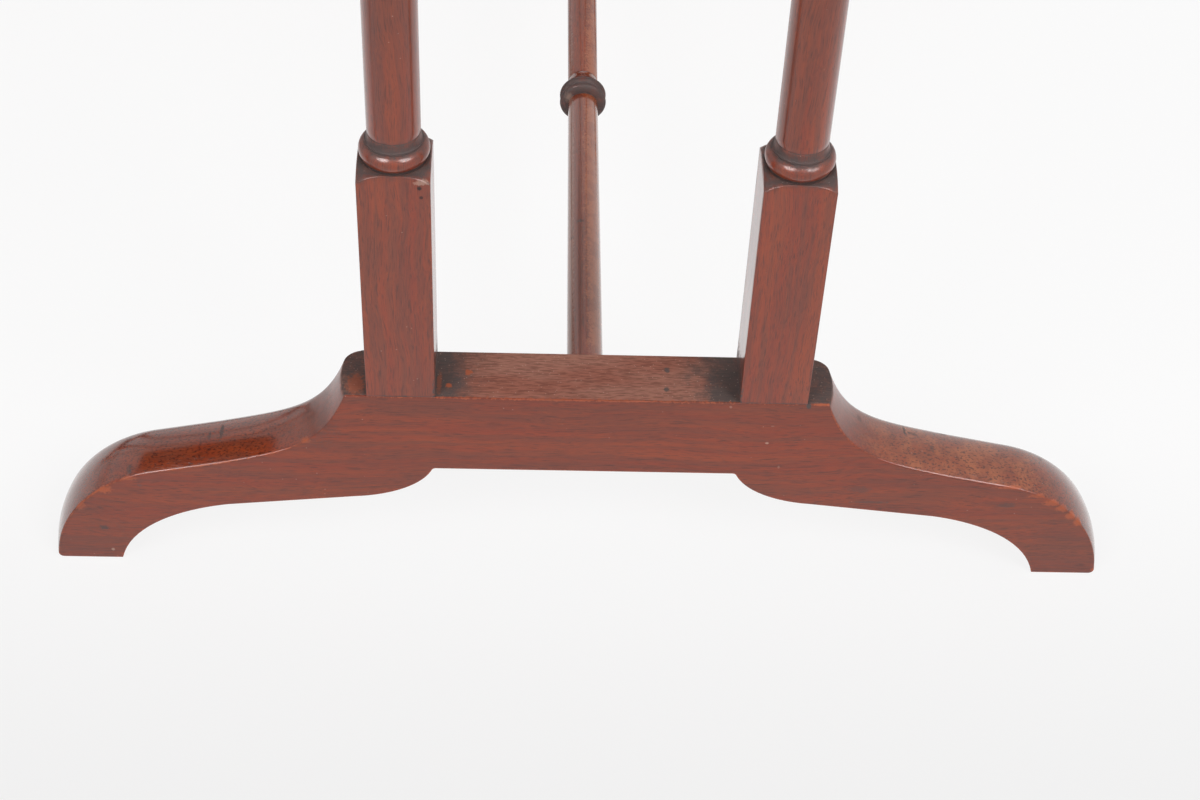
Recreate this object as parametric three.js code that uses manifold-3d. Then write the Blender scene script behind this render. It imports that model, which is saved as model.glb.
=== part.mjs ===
// Nest of three mahogany side tables. Each stands on two trestle ends: a shaped foot, two ring-turned
// columns with square blocks, and a bearer under the top. The smaller tables draw out to the front.
// Millimetres. X runs along the tops, the front is at -Y, Z is up and the floor is at zero.
import * as THREE from "three";
import { mergeVertices } from "three/addons/utils/BufferGeometryUtils.js";
import Module from "manifold-3d";

// The set
const smallLength = 326; // over the outer faces of the smallest table's feet
const smallDepth = 310; // over the toes of the smallest table
const depthStep = 24; // each larger table is deeper by this much
const largestHeight = 702;
const nestingGap = 3; // between a smaller top's end and the legs that it slides between
const tierGap = 5; // between a smaller top and the top above it
const middleDrawn = 150; // how far the middle table stands drawn out
const standOff = 30; // from the middle table's toes to those of the smallest, which stands free

// Tops
const topThickness = 12;
const topOverhang = 12; // past the outer face of a trestle
const topCornerRadius = 5;
const topEdgeRound = 3.5;

// Bearers, which carry the top
const bearerHeight = 16;
const bearerInset = 26; // from the top's front and back edges
const bearerEndRadius = 10;

// Feet
const footThickness = 18.4;
const footHeight = 69.8;
const archHeight = 41; // of the straight underside between the columns
const soleLength = 18.8;
const earWidth = 6; // of the foot's flat top, outside a column's block
const scoopLength = 37.7; // from the ear down to the arm
const armHeight = 41.4; // where the scoop meets the arm
const toeLength = 29.8; // of the round end of the arm
const toeHeight = 36.9; // where that round end starts
const heelLength = 33.2; // of the hollow behind the sole
const heelHeight = 24.2;
const lobeLength = 22.6; // of the round lobe below a column
const lobeHeight = 28.6;
const lobeSetback = 1; // from a block's inner face to the lobe's cusp
const armCrown = 1.3; // of the arm's rounded top above its outer edge
const armFall = 1.5; // of that top below its outer edge, at the inner face

// Columns
const blockWidth = 19;
const smallColumnSpacing = 103.8; // between the axes of the two columns of the smallest trestle
const lowerBlockHeight = 76;
const upperBlockHeight = 44;
const shaftRadius = 6.9;
const neckRadius = 7.6;
const ringRadius = 9.1;
const ringLength = 6.4;
const columnBeadRadius = 9.1; // of the double bead half way up
const columnBeadLength = 11;
const tenonShoulder = 3.5; // from a block's side face in to its tenon
const tenonCheek = 4.7; // from a block's outer or inner face in to its tenon

// Stretchers
const stretcherRadius = 4.95;
const stretcherBeadRadius = 7.7;
const stretcherBeadLength = 10.2;
const stretcherTenonRadius = 3.4;
const stretcherTenonLength = 10;
const stretcherRise = 9; // of the smallest table's stretcher above the straight underside of its feet
const rearStretcherGap = 2.5; // from that of a larger table to the blocks nested in front of it

// Screws, two through each bearer
const screwHeadRadius = 4;
const screwHeadDepth = 3;
const screwShankRadius = 1.9;
const screwTipLength = 3;
const screwBite = 6; // into the top
const screwInset = 20; // from a bearer's end

const fitGap = 0.3; // all round a tenon or a screw
const overrun = 2; // of a cutter past the face that it opens

const blockShoulderShare = 0.45; // rise of a block's turned shoulder along its radius
const tenonDepthShare = 0.65; // of the wood that a column's tenon enters
const screwTipShare = 0.3; // of the shank's radius

// Bezier handles, as shares of the way along and of the way up a curve
const scoopShares = [[0.18, 0.66], [0.38, 0.79]];
const toeShares = [[0.59, 0.12], [0.98, 0.57]];
const heelShares = [[0.12, 0.62], [0.61, 0.91]];
const lobeShares = [[0.39, 0.09], [0.82, 0.52]];

// Across a foot from its inner face: how much of the fall and of the crown its arm's top has there
const crownShares = [[0, 1, 0], [0.2, 0, 0.15], [0.6, 0, 1], [1, 0, 0]];

// How far a turning stands out from its rod, and how far along it that is
const doubleBeadShares = [[0, 0], [0.45, 0.08], [1, 0.28], [0.55, 0.5], [1, 0.72], [0.45, 0.92], [0, 1]];
const ringShares = [[0, 0], [0.8, 0.1], [1, 0.32], [0.8, 0.54], [0.15, 0.66]];

const turnedSides = 16;
const screwSides = 8;
const armSteps = 6; // along each curve of a foot's top
const undersideSteps = 5;
const cornerSteps = 4;
const edgeSteps = 2;

const polished = new THREE.MeshStandardMaterial({ color: 0x7a3b2a, roughness: 0.35, metalness: 0 });
const plain = new THREE.MeshStandardMaterial({ color: 0x6b4630, roughness: 0.7, metalness: 0 });
const steel = new THREE.MeshStandardMaterial({ color: 0x8a8780, roughness: 0.45, metalness: 1 });

const wasm = await Module();
wasm.setup();

// A closed three.js geometry as a solid that can be joined and cut.
function solidOf(geometry) {
  const bare = geometry.clone();
  bare.deleteAttribute("normal");
  bare.deleteAttribute("uv");
  const merged = mergeVertices(bare);
  const mesh = new wasm.Mesh({
    numProp: 3,
    vertProperties: merged.attributes.position.array,
    triVerts: new Uint32Array(merged.index.array),
  });
  return new wasm.Manifold(mesh);
}

// A solid as a three.js mesh with a name of its own.
function meshOf(name, solid, material) {
  const made = solid.getMesh();
  const geometry = new THREE.BufferGeometry();
  geometry.setAttribute("position", new THREE.BufferAttribute(made.vertProperties, made.numProp));
  geometry.setIndex(new THREE.BufferAttribute(made.triVerts, 1));
  geometry.computeVertexNormals();
  const mesh = new THREE.Mesh(geometry, material);
  mesh.name = name;
  return mesh;
}

// A box by its sizes, standing on z = 0 about the z axis.
function blockOf(sizeX, sizeY, height) {
  return solidOf(new THREE.BoxGeometry(sizeX, sizeY, height).translate(0, 0, height / 2));
}

// A turned solid about the z axis. The profile runs upwards as [radius, z] and is closed on the axis.
function turned(profile, sides = turnedSides) {
  const bottom = [0, profile[0][1]];
  const top = [0, profile[profile.length - 1][1]];
  const points = [bottom, ...profile, top].map(([radius, z]) => new THREE.Vector2(radius, z));
  return solidOf(new THREE.LatheGeometry(points, sides, Math.PI / sides).rotateX(Math.PI / 2));
}

// A table of shares as the profile of a turning that starts at the given height on a rod.
function turning(shares, rodRadius, radius, start, length) {
  return shares.map(([out, along]) => [rodRadius + (radius - rodRadius) * out, start + length * along]);
}

// How far a block's turned shoulder rises from its corners to the neck.
const blockCornerRadius = Math.hypot(blockWidth, footThickness) / 2;
const shoulderRise = (blockCornerRadius - neckRadius) * blockShoulderShare;

// A square block from z = 0, with its top turned down to a shoulder round the neck.
function shoulderedBlock(height) {
  const reach = blockCornerRadius + overrun;
  const shoulder = turned([
    [reach, -overrun],
    [reach, height - overrun * blockShoulderShare],
    [neckRadius, height + shoulderRise],
  ]);
  return blockOf(footThickness, blockWidth, height + shoulderRise).intersect(shoulder);
}

// A column's tenon, or its mortise with a gap all round, upwards from z = 0.
function tenonBlock(length, gap) {
  const through = footThickness - tenonCheek * 2 + gap * 2;
  const across = blockWidth - tenonShoulder * 2 + gap * 2;
  return blockOf(through, across, length + gap);
}

const footTenonLength = (footHeight - archHeight) * tenonDepthShare;
const bearerTenonLength = bearerHeight * tenonDepthShare;

// One column, from the foot's flat top at z = 0 up to the bearer, with its two tenons.
function columnSolid(height) {
  const shaftStart = lowerBlockHeight + shoulderRise;
  const shaftEnd = height - upperBlockHeight - shoulderRise;
  const beadStart = (shaftStart + shaftEnd - columnBeadLength) / 2;
  const lowerRing = turning(ringShares, neckRadius, ringRadius, shaftStart, ringLength);
  const upperRing = turning(ringShares, neckRadius, ringRadius, shaftEnd, -ringLength).reverse();
  const shaft = turned([
    [neckRadius, shaftStart - overrun],
    ...lowerRing,
    [shaftRadius, shaftStart + ringLength],
    ...turning(doubleBeadShares, shaftRadius, columnBeadRadius, beadStart, columnBeadLength),
    [shaftRadius, shaftEnd - ringLength],
    ...upperRing,
    [neckRadius, shaftEnd + overrun],
  ]);
  const upperBlock = shoulderedBlock(upperBlockHeight).rotate([180, 0, 0]).translate([0, 0, height]);
  const footTenon = tenonBlock(footTenonLength + overrun, 0).translate([0, 0, -footTenonLength]);
  const bearerTenon = tenonBlock(bearerTenonLength + overrun, 0).translate([0, 0, height - overrun]);
  return shaft.add(shoulderedBlock(lowerBlockHeight)).add(upperBlock).add(footTenon).add(bearerTenon);
}

// A stretcher along z, centred, between two faces that are the given distance apart.
function stretcherSolid(length) {
  const half = length / 2;
  const tenonEnd = half + stretcherTenonLength;
  const beadStart = -stretcherBeadLength / 2;
  return turned([
    [stretcherTenonRadius, -tenonEnd],
    [stretcherTenonRadius, -half],
    [stretcherRadius, -half],
    ...turning(doubleBeadShares, stretcherRadius, stretcherBeadRadius, beadStart, stretcherBeadLength),
    [stretcherRadius, half],
    [stretcherTenonRadius, half],
    [stretcherTenonRadius, tenonEnd],
  ]);
}

// The hole for a stretcher's tenon. It opens at x = 0 and runs towards +x.
function stretcherSocket() {
  const radius = stretcherTenonRadius + fitGap;
  const depth = stretcherTenonLength + fitGap;
  return turned([[radius, -overrun], [radius, depth]]).rotate([0, 90, 0]);
}

const screwLength = bearerHeight + screwBite;

// A countersunk screw upwards from the face of its head at z = 0, or its hole with a gap all round.
function screwSolid(gap) {
  return turned(
    [
      [screwHeadRadius + gap, -gap],
      [screwHeadRadius + gap, 0],
      [screwShankRadius + gap, screwHeadDepth],
      [screwShankRadius + gap, screwLength - screwTipLength + gap],
      [screwShankRadius * screwTipShare + gap, screwLength + gap],
    ],
    screwSides,
  );
}

// Carries a path on to a point by a curve whose handles are shares of the way there.
function curveTo(path, endY, endZ, shares) {
  const start = path.currentPoint;
  const handles = shares.flatMap(([along, up]) => [
    THREE.MathUtils.lerp(start.x, endY, along),
    THREE.MathUtils.lerp(start.y, endZ, up),
  ]);
  path.bezierCurveTo(...handles, endY, endZ);
}

// The top of a foot's arm, from the ear out to the tip of the toe, in the y-z plane.
function armTop(ear, halfSpan) {
  const path = new THREE.Path();
  path.moveTo(ear, footHeight);
  curveTo(path, ear + scoopLength, armHeight, scoopShares);
  path.lineTo(halfSpan - toeLength, toeHeight);
  curveTo(path, halfSpan, 0, toeShares);
  return path.getPoints(armSteps);
}

// The underside of a foot's arm, from the sole in to the cusp beside the straight middle.
function armUnderside(cusp, halfSpan) {
  const heel = halfSpan - soleLength;
  const path = new THREE.Path();
  path.moveTo(heel, 0);
  curveTo(path, heel - heelLength, heelHeight, heelShares);
  path.lineTo(cusp + lobeLength, lobeHeight);
  curveTo(path, cusp, archHeight, lobeShares);
  return path.getPoints(undersideSteps);
}

// The arm's top moved outwards: its ear stays level with the flat top and its toe on the floor.
function offsetArm(points, offset) {
  const last = points.length - 1;
  return points.map((point, i) => {
    const along = points[Math.min(i + 1, last)].clone().sub(points[Math.max(i - 1, 0)]).normalize();
    const out = new THREE.Vector2(-along.y, along.x);
    if (i === 0 || i === last) return new THREE.Vector2(point.x + offset / out.x, point.y);
    return point.clone().addScaledVector(out, offset);
  });
}

// A closed solid through equal outlines in the y-z plane, at rising x.
function loft(stations) {
  const count = stations[0].outline.length;
  const lastStart = (stations.length - 1) * count;
  const positions = stations.flatMap(({ x, outline }) => outline.flatMap((point) => [x, point.x, point.y]));
  const index = [];
  for (let near = 0; near < lastStart; near += count) {
    const far = near + count;
    for (let j = 0; j < count; j++) {
      const next = (j + 1) % count;
      index.push(near + j, near + next, far + next, near + j, far + next, far + j);
    }
  }
  const firstCap = THREE.ShapeUtils.triangulateShape(stations[0].outline, []);
  const lastCap = THREE.ShapeUtils.triangulateShape(stations[stations.length - 1].outline, []);
  firstCap.forEach(([a, b, c]) => index.push(c, b, a));
  lastCap.forEach(([a, b, c]) => index.push(lastStart + a, lastStart + b, lastStart + c));
  const geometry = new THREE.BufferGeometry();
  geometry.setAttribute("position", new THREE.Float32BufferAttribute(positions, 3));
  geometry.setIndex(index);
  return solidOf(geometry);
}

// One foot. Its inner face is at x = 0 and its outer face at x = footThickness.
function footSolid(table) {
  const ear = (table.columnSpacing + blockWidth) / 2 + earWidth;
  const cusp = (table.columnSpacing - blockWidth) / 2 + lobeSetback;
  const halfSpan = table.depth / 2;
  const top = armTop(ear, halfSpan);
  const underside = armUnderside(cusp, halfSpan);
  const stations = crownShares.map(([across, fall, rise]) => {
    const right = [...offsetArm(top, armCrown * rise - armFall * fall), ...underside];
    const left = right.map((point) => new THREE.Vector2(-point.x, point.y));
    return { x: footThickness * across, outline: [...left, ...right.reverse()] };
  });
  return loft(stations);
}

// One bearer, with its lower corners rounded. Its inner face is at x = 0 and its top face at z = 0.
function bearerSolid(length) {
  const cornerY = length / 2 - bearerEndRadius;
  const cornerZ = bearerEndRadius - bearerHeight;
  const shape = new THREE.Shape();
  shape.moveTo(length / 2, 0);
  shape.lineTo(-length / 2, 0);
  shape.absarc(-cornerY, cornerZ, bearerEndRadius, Math.PI, Math.PI * 1.5);
  shape.absarc(cornerY, cornerZ, bearerEndRadius, Math.PI * 1.5, Math.PI * 2);
  const geometry = new THREE.ExtrudeGeometry(shape, {
    depth: footThickness,
    bevelEnabled: false,
    curveSegments: cornerSteps,
  });
  return solidOf(geometry.rotateX(Math.PI / 2).rotateZ(Math.PI / 2));
}

// One top with round corners and a rounded edge. Its underside is at z = 0.
function topSolid(length, depth) {
  const cornerX = length / 2 - topEdgeRound - topCornerRadius;
  const cornerY = depth / 2 - topEdgeRound - topCornerRadius;
  const shape = new THREE.Shape();
  shape.absarc(cornerX, cornerY, topCornerRadius, 0, Math.PI / 2);
  shape.absarc(-cornerX, cornerY, topCornerRadius, Math.PI / 2, Math.PI);
  shape.absarc(-cornerX, -cornerY, topCornerRadius, Math.PI, Math.PI * 1.5);
  shape.absarc(cornerX, -cornerY, topCornerRadius, Math.PI * 1.5, Math.PI * 2);
  const geometry = new THREE.ExtrudeGeometry(shape, {
    depth: topThickness - topEdgeRound * 2,
    bevelThickness: topEdgeRound,
    bevelSize: topEdgeRound,
    bevelSegments: edgeSteps,
    curveSegments: cornerSteps,
  });
  return solidOf(geometry.translate(0, 0, topEdgeRound));
}

// The sizes of each table. A larger one takes the smaller between its legs and under its top.
const lengthStep = (topOverhang + nestingGap + footThickness) * 2;
const spacingStep = blockWidth + (stretcherRadius + rearStretcherGap) * 2 - depthStep;
const tierStep = topThickness + tierGap;
const tables = ["small", "middle", "large"].map((name, tier, names) => ({
  name,
  innerLength: smallLength - footThickness * 2 + lengthStep * tier,
  depth: smallDepth + depthStep * tier,
  columnSpacing: smallColumnSpacing + spacingStep * tier,
  height: largestHeight - tierStep * (names.length - 1 - tier),
  lowStretcher: tier === 0,
}));
const [small, middle, large] = tables;

// Where each table stands along y, with the whole set centred. Nested, their fronts are in line.
const nestedSetback = depthStep / 2;
const middlePlace = -nestedSetback - middleDrawn;
const smallPlace = middlePlace - (middle.depth + small.depth) / 2 - standOff;
const setCentre = (smallPlace - small.depth / 2 + large.depth / 2) / 2;
small.place = smallPlace - setCentre;
middle.place = middlePlace - setCentre;
large.place = -setCentre;

// One trestle end of a table. It is built at +X, and turned half round for the left.
function trestle(table, side) {
  const end = new THREE.Group();
  end.rotation.z = side === "right" ? 0 : Math.PI;
  const innerX = table.innerLength / 2;
  const halfThickness = footThickness / 2;
  const bearerTop = table.height - topThickness;
  const bearerLength = table.depth - bearerInset * 2;
  const columnHeight = bearerTop - bearerHeight - footHeight;
  const footMortise = tenonBlock(footTenonLength + overrun, fitGap);
  const footMortiseZ = footHeight - footTenonLength - fitGap;
  const bearerMortise = tenonBlock(bearerTenonLength + overrun, fitGap);
  let foot = footSolid(table);
  let bearer = bearerSolid(bearerLength);
  if (table.lowStretcher) {
    foot = foot.subtract(stretcherSocket().translate([0, 0, archHeight + stretcherRise]));
  }
  for (const place of ["front", "rear"]) {
    const towards = (place === "rear") === (side === "right") ? 1 : -1;
    const columnY = (towards * table.columnSpacing) / 2;
    const screwY = towards * (bearerLength / 2 - screwInset);
    foot = foot.subtract(footMortise.translate([halfThickness, columnY, footMortiseZ]));
    bearer = bearer
      .subtract(bearerMortise.translate([halfThickness, columnY, -bearerHeight - overrun]))
      .subtract(screwSolid(fitGap).translate([halfThickness, screwY, -bearerHeight]));
    let column = columnSolid(columnHeight);
    if (place === "rear" && !table.lowStretcher) {
      column = column.subtract(stretcherSocket().translate([-halfThickness, 0, lowerBlockHeight / 2]));
    }
    const columnMesh = meshOf(`${table.name}_${side}_${place}_column`, column, polished);
    columnMesh.position.set(innerX + halfThickness, columnY, footHeight);
    const screwMesh = meshOf(`${table.name}_${side}_${place}_screw`, screwSolid(0), steel);
    screwMesh.position.set(innerX + halfThickness, screwY, bearerTop - bearerHeight);
    end.add(columnMesh, screwMesh);
  }
  const footMesh = meshOf(`${table.name}_${side}_foot`, foot, polished);
  footMesh.position.x = innerX;
  const bearerMesh = meshOf(`${table.name}_${side}_bearer`, bearer, plain);
  bearerMesh.position.set(innerX, 0, bearerTop);
  end.add(footMesh, bearerMesh);
  return end;
}

// A table's top, with pilot holes for its four screws.
function topMesh(table) {
  const screwX = (table.innerLength + footThickness) / 2;
  const screwY = table.depth / 2 - bearerInset - screwInset;
  let top = topSolid(table.innerLength + (footThickness + topOverhang) * 2, table.depth);
  for (const x of [-screwX, screwX]) {
    for (const y of [-screwY, screwY]) {
      top = top.subtract(screwSolid(fitGap).translate([x, y, -bearerHeight]));
    }
  }
  const mesh = meshOf(`${table.name}_top`, top, polished);
  mesh.position.z = table.height - topThickness;
  return mesh;
}

// A table's stretcher: low between the feet of the smallest, or between the rear blocks of a larger one.
function stretcherMesh(table) {
  const mesh = meshOf(`${table.name}_stretcher`, stretcherSolid(table.innerLength), polished);
  mesh.rotation.y = Math.PI / 2;
  if (table.lowStretcher) mesh.position.z = archHeight + stretcherRise;
  else mesh.position.set(0, table.columnSpacing / 2, footHeight + lowerBlockHeight / 2);
  return mesh;
}

const nest = new THREE.Group();
for (const table of tables) {
  const group = new THREE.Group();
  group.position.y = table.place;
  group.add(trestle(table, "left"), trestle(table, "right"), topMesh(table), stretcherMesh(table));
  nest.add(group);
}

export default nest;
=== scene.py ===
# Nest of three mahogany side tables: the finished pieces, their materials, and a studio round them.
# Metres. X runs along the tops, the front is at -Y, Z is up and the floor is at zero.
import math
from collections import namedtuple

import bmesh
import bpy
from bpy.props import FloatProperty, FloatVectorProperty, IntProperty, PointerProperty
from mathutils import Matrix, Vector
from mathutils.geometry import interpolate_bezier


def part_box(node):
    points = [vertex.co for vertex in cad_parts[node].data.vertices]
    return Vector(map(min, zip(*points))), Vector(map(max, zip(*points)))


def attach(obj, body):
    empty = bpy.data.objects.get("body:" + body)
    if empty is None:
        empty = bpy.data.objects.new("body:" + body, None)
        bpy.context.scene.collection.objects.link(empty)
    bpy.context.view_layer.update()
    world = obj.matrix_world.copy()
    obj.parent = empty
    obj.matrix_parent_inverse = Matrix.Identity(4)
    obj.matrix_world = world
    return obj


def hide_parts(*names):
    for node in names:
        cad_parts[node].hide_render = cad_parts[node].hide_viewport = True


bl_info = {
    "name": "Nest of tables",
    "version": (1, 0, 0),
    "blender": (4, 5, 0),
    "location": "View3D > Sidebar > Nest of tables",
    "description": "Makes the pieces of a nest of three side tables round their packed model",
    "category": "Object",
}

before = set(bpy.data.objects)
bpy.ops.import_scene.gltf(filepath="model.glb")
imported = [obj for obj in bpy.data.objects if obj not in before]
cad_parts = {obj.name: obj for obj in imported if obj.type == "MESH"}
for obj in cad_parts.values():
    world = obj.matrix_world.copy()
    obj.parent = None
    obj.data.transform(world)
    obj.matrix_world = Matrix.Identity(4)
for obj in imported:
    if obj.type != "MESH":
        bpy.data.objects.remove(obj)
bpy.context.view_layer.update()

MM = 0.001
WELD = 1e-6
CRISP_ANGLE = math.radians(50)
TABLES = ("small", "middle", "large")
PLACES = ("front", "rear")
TRESTLES = [(table, side) for table in TABLES for side in ("left", "right")]
LEGS = [(*trestle, place) for trestle in TRESTLES for place in PLACES]


# Sizes that a user would change

def length(name, description, millimetres):
    """A length property, with its default given in millimetres."""
    return FloatProperty(name=name, description=description, default=millimetres * MM, unit="LENGTH")


def colour(name, description, default):
    """A colour property."""
    return FloatVectorProperty(
        name=name, description=description, default=default, subtype="COLOR", min=0, max=1,
    )


def fraction(name, description, default):
    """A property that runs from nought to one."""
    return FloatProperty(name=name, description=description, default=default, subtype="FACTOR", min=0, max=1)


class FootSizes(bpy.types.PropertyGroup):
    """Sizes of the shaped feet"""

    ear_width: length("Ear width", "Flat top outside a column's block", 6)
    scoop_length: length("Scoop length", "From the ear down to the arm", 37.7)
    arm_height: length("Arm height", "Where the scoop meets the arm", 41.4)
    toe_length: length("Toe length", "Round end of the arm", 29.8)
    toe_height: length("Toe height", "Where the round end starts", 36.9)
    toe_corner: length("Toe corner", "Round corner at the floor", 1.5)
    sole_length: length("Sole length", "Flat part on the floor", 18.8)
    heel_length: length("Heel length", "Hollow behind the sole", 33.2)
    heel_height: length("Heel height", "Rise of that hollow", 24.2)
    lobe_length: length("Lobe length", "Round lobe below a column", 22.6)
    lobe_height: length("Lobe height", "Where the lobe starts above the floor", 28.6)
    lobe_setback: length("Lobe setback", "From a block's inner face to the lobe's cusp", 1)
    arch_height: length("Arch height", "Straight underside between the columns", 41)
    cusp_corner: length("Cusp corner", "Round corner at the cusp", 0.8)
    ear_crown: length("Ear crown", "Bulge of the ear's end and the scoop", 1.4)
    arm_crown: length("Arm crown", "Rise of the arm's rounded top above its outer arris", 2.4)
    toe_crown: length("Toe crown", "Bulge of the toe's tip", 1.3)
    ear_rounding: length("Ear rounding", "Round inner arris at the ear and the scoop", 4)
    arm_rounding: length("Arm rounding", "Round inner arris along the arm and the toe", 2.5)
    arris: length("Arris", "Worn bevel along the edges", 0.26)
    rim: length("Rim", "Wear on a face beside its edge", 0.7)
    # Reach of the soiling and painted shade along the rail from each block
    rear_dirt_and_shade: length("Rear dirt", "Dirt along the rail from the rear block", 18)
    front_dirt_and_shade: length("Front dirt", "Dirt along the rail from the front block", 22)


class ColumnSizes(bpy.types.PropertyGroup):
    """Sizes of the turned columns"""

    lower_block: length("Lower block", "Height of the lower block's corners", 76)
    upper_block: length("Upper block", "Height of the upper block's corners", 44)
    shoulder_rise: length("Shoulder rise", "From a block's corners to its shoulder", 2.5)
    shaft_radius: length("Shaft radius", "Radius of the plain shaft", 6.95)
    neck_radius: length("Neck radius", "Hollow under the ring", 8.4)
    ring_core: length("Ring core", "From the axis to the middle of the ring's curve", 6.3)
    ring_tube: length("Ring tube", "Radius of the ring's curve", 2.9)
    ring_rise: length("Ring rise", "From the shoulder to the middle of the ring", 2.4)
    fillet_radius: length("Fillet radius", "Straight fillet above the ring", 7.55)
    cove_length: length("Cove length", "Hollow between that fillet and the shaft", 2.3)
    bead_radius: length("Bead radius", "Double bead half way up", 9.1)
    crest_spacing: length("Crest spacing", "Between the crests of the two beads", 4.6)
    bead_end: length("Bead end", "From a crest to the bead's end", 1.9)
    groove: length("Groove", "Depth of the groove between the beads", 1.2)
    bead_fillet: length("Bead fillet", "Rise of the fillet beside the beads from the shaft", 0.7)
    arris: length("Arris", "Worn bevel along the blocks", 0.18)
    turned_steps: IntProperty(
        name="Turned steps", description="Faces round a turning", default=48, min=16, max=96,
    )


class StretcherSizes(bpy.types.PropertyGroup):
    """Sizes of the turned stretchers"""

    radius: length("Radius", "Radius of the rod beside the beads", 4.95)
    end_radius: length("End radius", "Radius of the rod at its ends", 5.35)
    bead_radius: length("Bead radius", "Double bead half way along", 7.7)
    crest_spacing: length("Crest spacing", "Between the crests of the two beads", 3.8)
    bead_end: length("Bead end", "From a crest to the bead's end", 1.4)
    groove: length("Groove", "Depth of the groove between the beads", 1.1)
    fillet_radius: length("Fillet radius", "Fillet beside the beads", 5.9)
    fillet_length: length("Fillet length", "Length of that fillet", 2.5)
    scribe_gap: length("Scribed line", "From the fillet to a fine scribed line", 3)
    tenon: length("Tenon", "Length of each end inside its socket", 9.2)


class TopSizes(bpy.types.PropertyGroup):
    """Sizes of the tops"""

    corner_radius: length("Corner radius", "Round corners", 8.5)
    edge_round: length("Edge round", "Rounding of the edge", 3.5)
    rim: length("Rim", "Wear on the top beside its edge", 2.5)


class BearerSizes(bpy.types.PropertyGroup):
    """Sizes of the bearers and their screws"""

    end_radius: length("End radius", "Round lower end", 10)
    arris: length("Arris", "Worn bevel along the edges", 0.5)
    screw_inset: length("Screw inset", "From a bearer's end to a screw", 20)
    head_radius: length("Head radius", "Radius of a screw's head", 4)
    head_depth: length("Head depth", "Depth of a screw's countersink", 3)
    head_edge: length("Head edge", "Straight edge of a screw's head", 0.25)
    shank_radius: length("Shank radius", "Radius of a screw's shank", 1.9)
    shank_end: length("Shank end", "From the head to the shank's end", 18)
    tip_radius: length("Tip radius", "Radius of a screw's tip", 0.6)
    tip_end: length("Tip end", "From the head to the tip", 22)
    slot_width: length("Slot width", "Width of a screw's slot", 0.9)
    slot_depth: length("Slot depth", "Depth of a screw's slot", 1)
    sink_gap: length("Sink gap", "Between a head and its hole", 0.25)


class WoodColours(bpy.types.PropertyGroup):
    """Colours of the wood and what has gathered on it"""

    red: colour("Red", "Ground colour of the mahogany", (0.232, 0.032, 0.011))
    light: colour("Light", "Light ribbons in it", (0.3, 0.053, 0.014))
    # The next colour is also the painted dark reflection along the stretchers.
    smoke: colour("Smoke", "Dull brown ribbons in it", (0.135, 0.034, 0.02))
    dark: colour("Dark", "Pores and dark streaks", (0.05, 0.015, 0.011))
    # The next colour is also painted light on the stretchers' side toward the front lamp.
    faded: colour("Faded", "Rubbed wood on the arms", (0.38, 0.108, 0.04))
    brown: colour("Brown", "Dusty unpolished wood", (0.36, 0.168, 0.122))
    worn: colour("Worn", "Bare wood along the arrises", (0.43, 0.108, 0.046))
    # The next colour is also the painted sheen along the stretchers.
    pale: colour("Pale", "Specks and grains of dust", (0.6, 0.42, 0.33))
    # The next colour is also painted shade: in corners and hollows, in the left scoop and on the toes' ends.
    grime: colour("Grime", "Old polish and dirt in the corners", (0.056, 0.057, 0.057))
    hole: colour("Hole", "Inside of a small hole", (0.018, 0.014, 0.014))
    plain: colour("Plain", "Thinly polished wood of the bearers", (0.24, 0.1, 0.055))
    steel: colour("Steel", "Screws", (0.36, 0.34, 0.31))
    stain: colour("Stain", "Old stains on the screws", (0.07, 0.045, 0.03))


class StudioLook(bpy.types.PropertyGroup):
    """Camera, floor and light"""

    camera_place: FloatVectorProperty(
        name="Camera", description="Where the camera stands", default=(-0.60329, -0.25185, 0.50992),
        subtype="TRANSLATION", unit="LENGTH",
    )
    camera_turn: FloatVectorProperty(
        name="Camera turn", description="How the camera is turned",
        default=tuple(map(math.radians, (45.0195, -2.1025, -90.5724))), subtype="EULER", unit="ROTATION",
    )
    lens: FloatProperty(name="Lens", description="Focal length", default=67.224, unit="CAMERA")
    floor: colour("Floor", "Colour of the floor", (0.88, 0.88, 0.88))
    floor_dirt: colour("Floor dirt", "Faint clouds on the floor", (0.792, 0.792, 0.792))
    far_floor: colour("Far floor", "What the camera sees of the floor behind", (1, 1, 1))
    near_floor: colour("Near floor", "What the camera sees of the floor in front", (0.885, 0.885, 0.885))
    floor_lift: fraction("Floor lift", "Share of plain white that the camera sees in the floor", 0.88)
    sky: fraction("Sky", "Light from all round", 0.36)
    overhead: fraction("Overhead", "What a reflection sees of the dark ceiling", 0.12)
    window: FloatProperty(name="Windows", description="What a reflection sees of them", default=9, min=0)
    lamp_power: FloatProperty(name="Lamp", description="Power of each lamp", default=27, unit="POWER")
    lamp_size: length("Lamp size", "Side of each soft lamp", 1100)


# Where things stand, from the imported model

def body_of(table):
    """The body that a table's pieces ride on."""
    return f"{table}_table"


def centre_of(node):
    """The middle of a node's box."""
    low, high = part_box(node)
    return (low + high) / 2


def column_spacing(table, side):
    """The distance between the axes of the two columns of a trestle."""
    front = centre_of(f"{table}_{side}_front_column")
    rear = centre_of(f"{table}_{side}_rear_column")
    return rear.y - front.y


# Shapes

def lerp(start, end, share):
    """The value that lies a share of the way from start to end."""
    return start + (end - start) * share


def ease(share):
    """A smooth rise from nought to one."""
    share = min(max(share, 0), 1)
    return share * share * (3 - 2 * share)


def quarter(steps):
    """Angles in even steps from nought to a right angle."""
    return [math.radians(90) * step / steps for step in range(steps + 1)]


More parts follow.
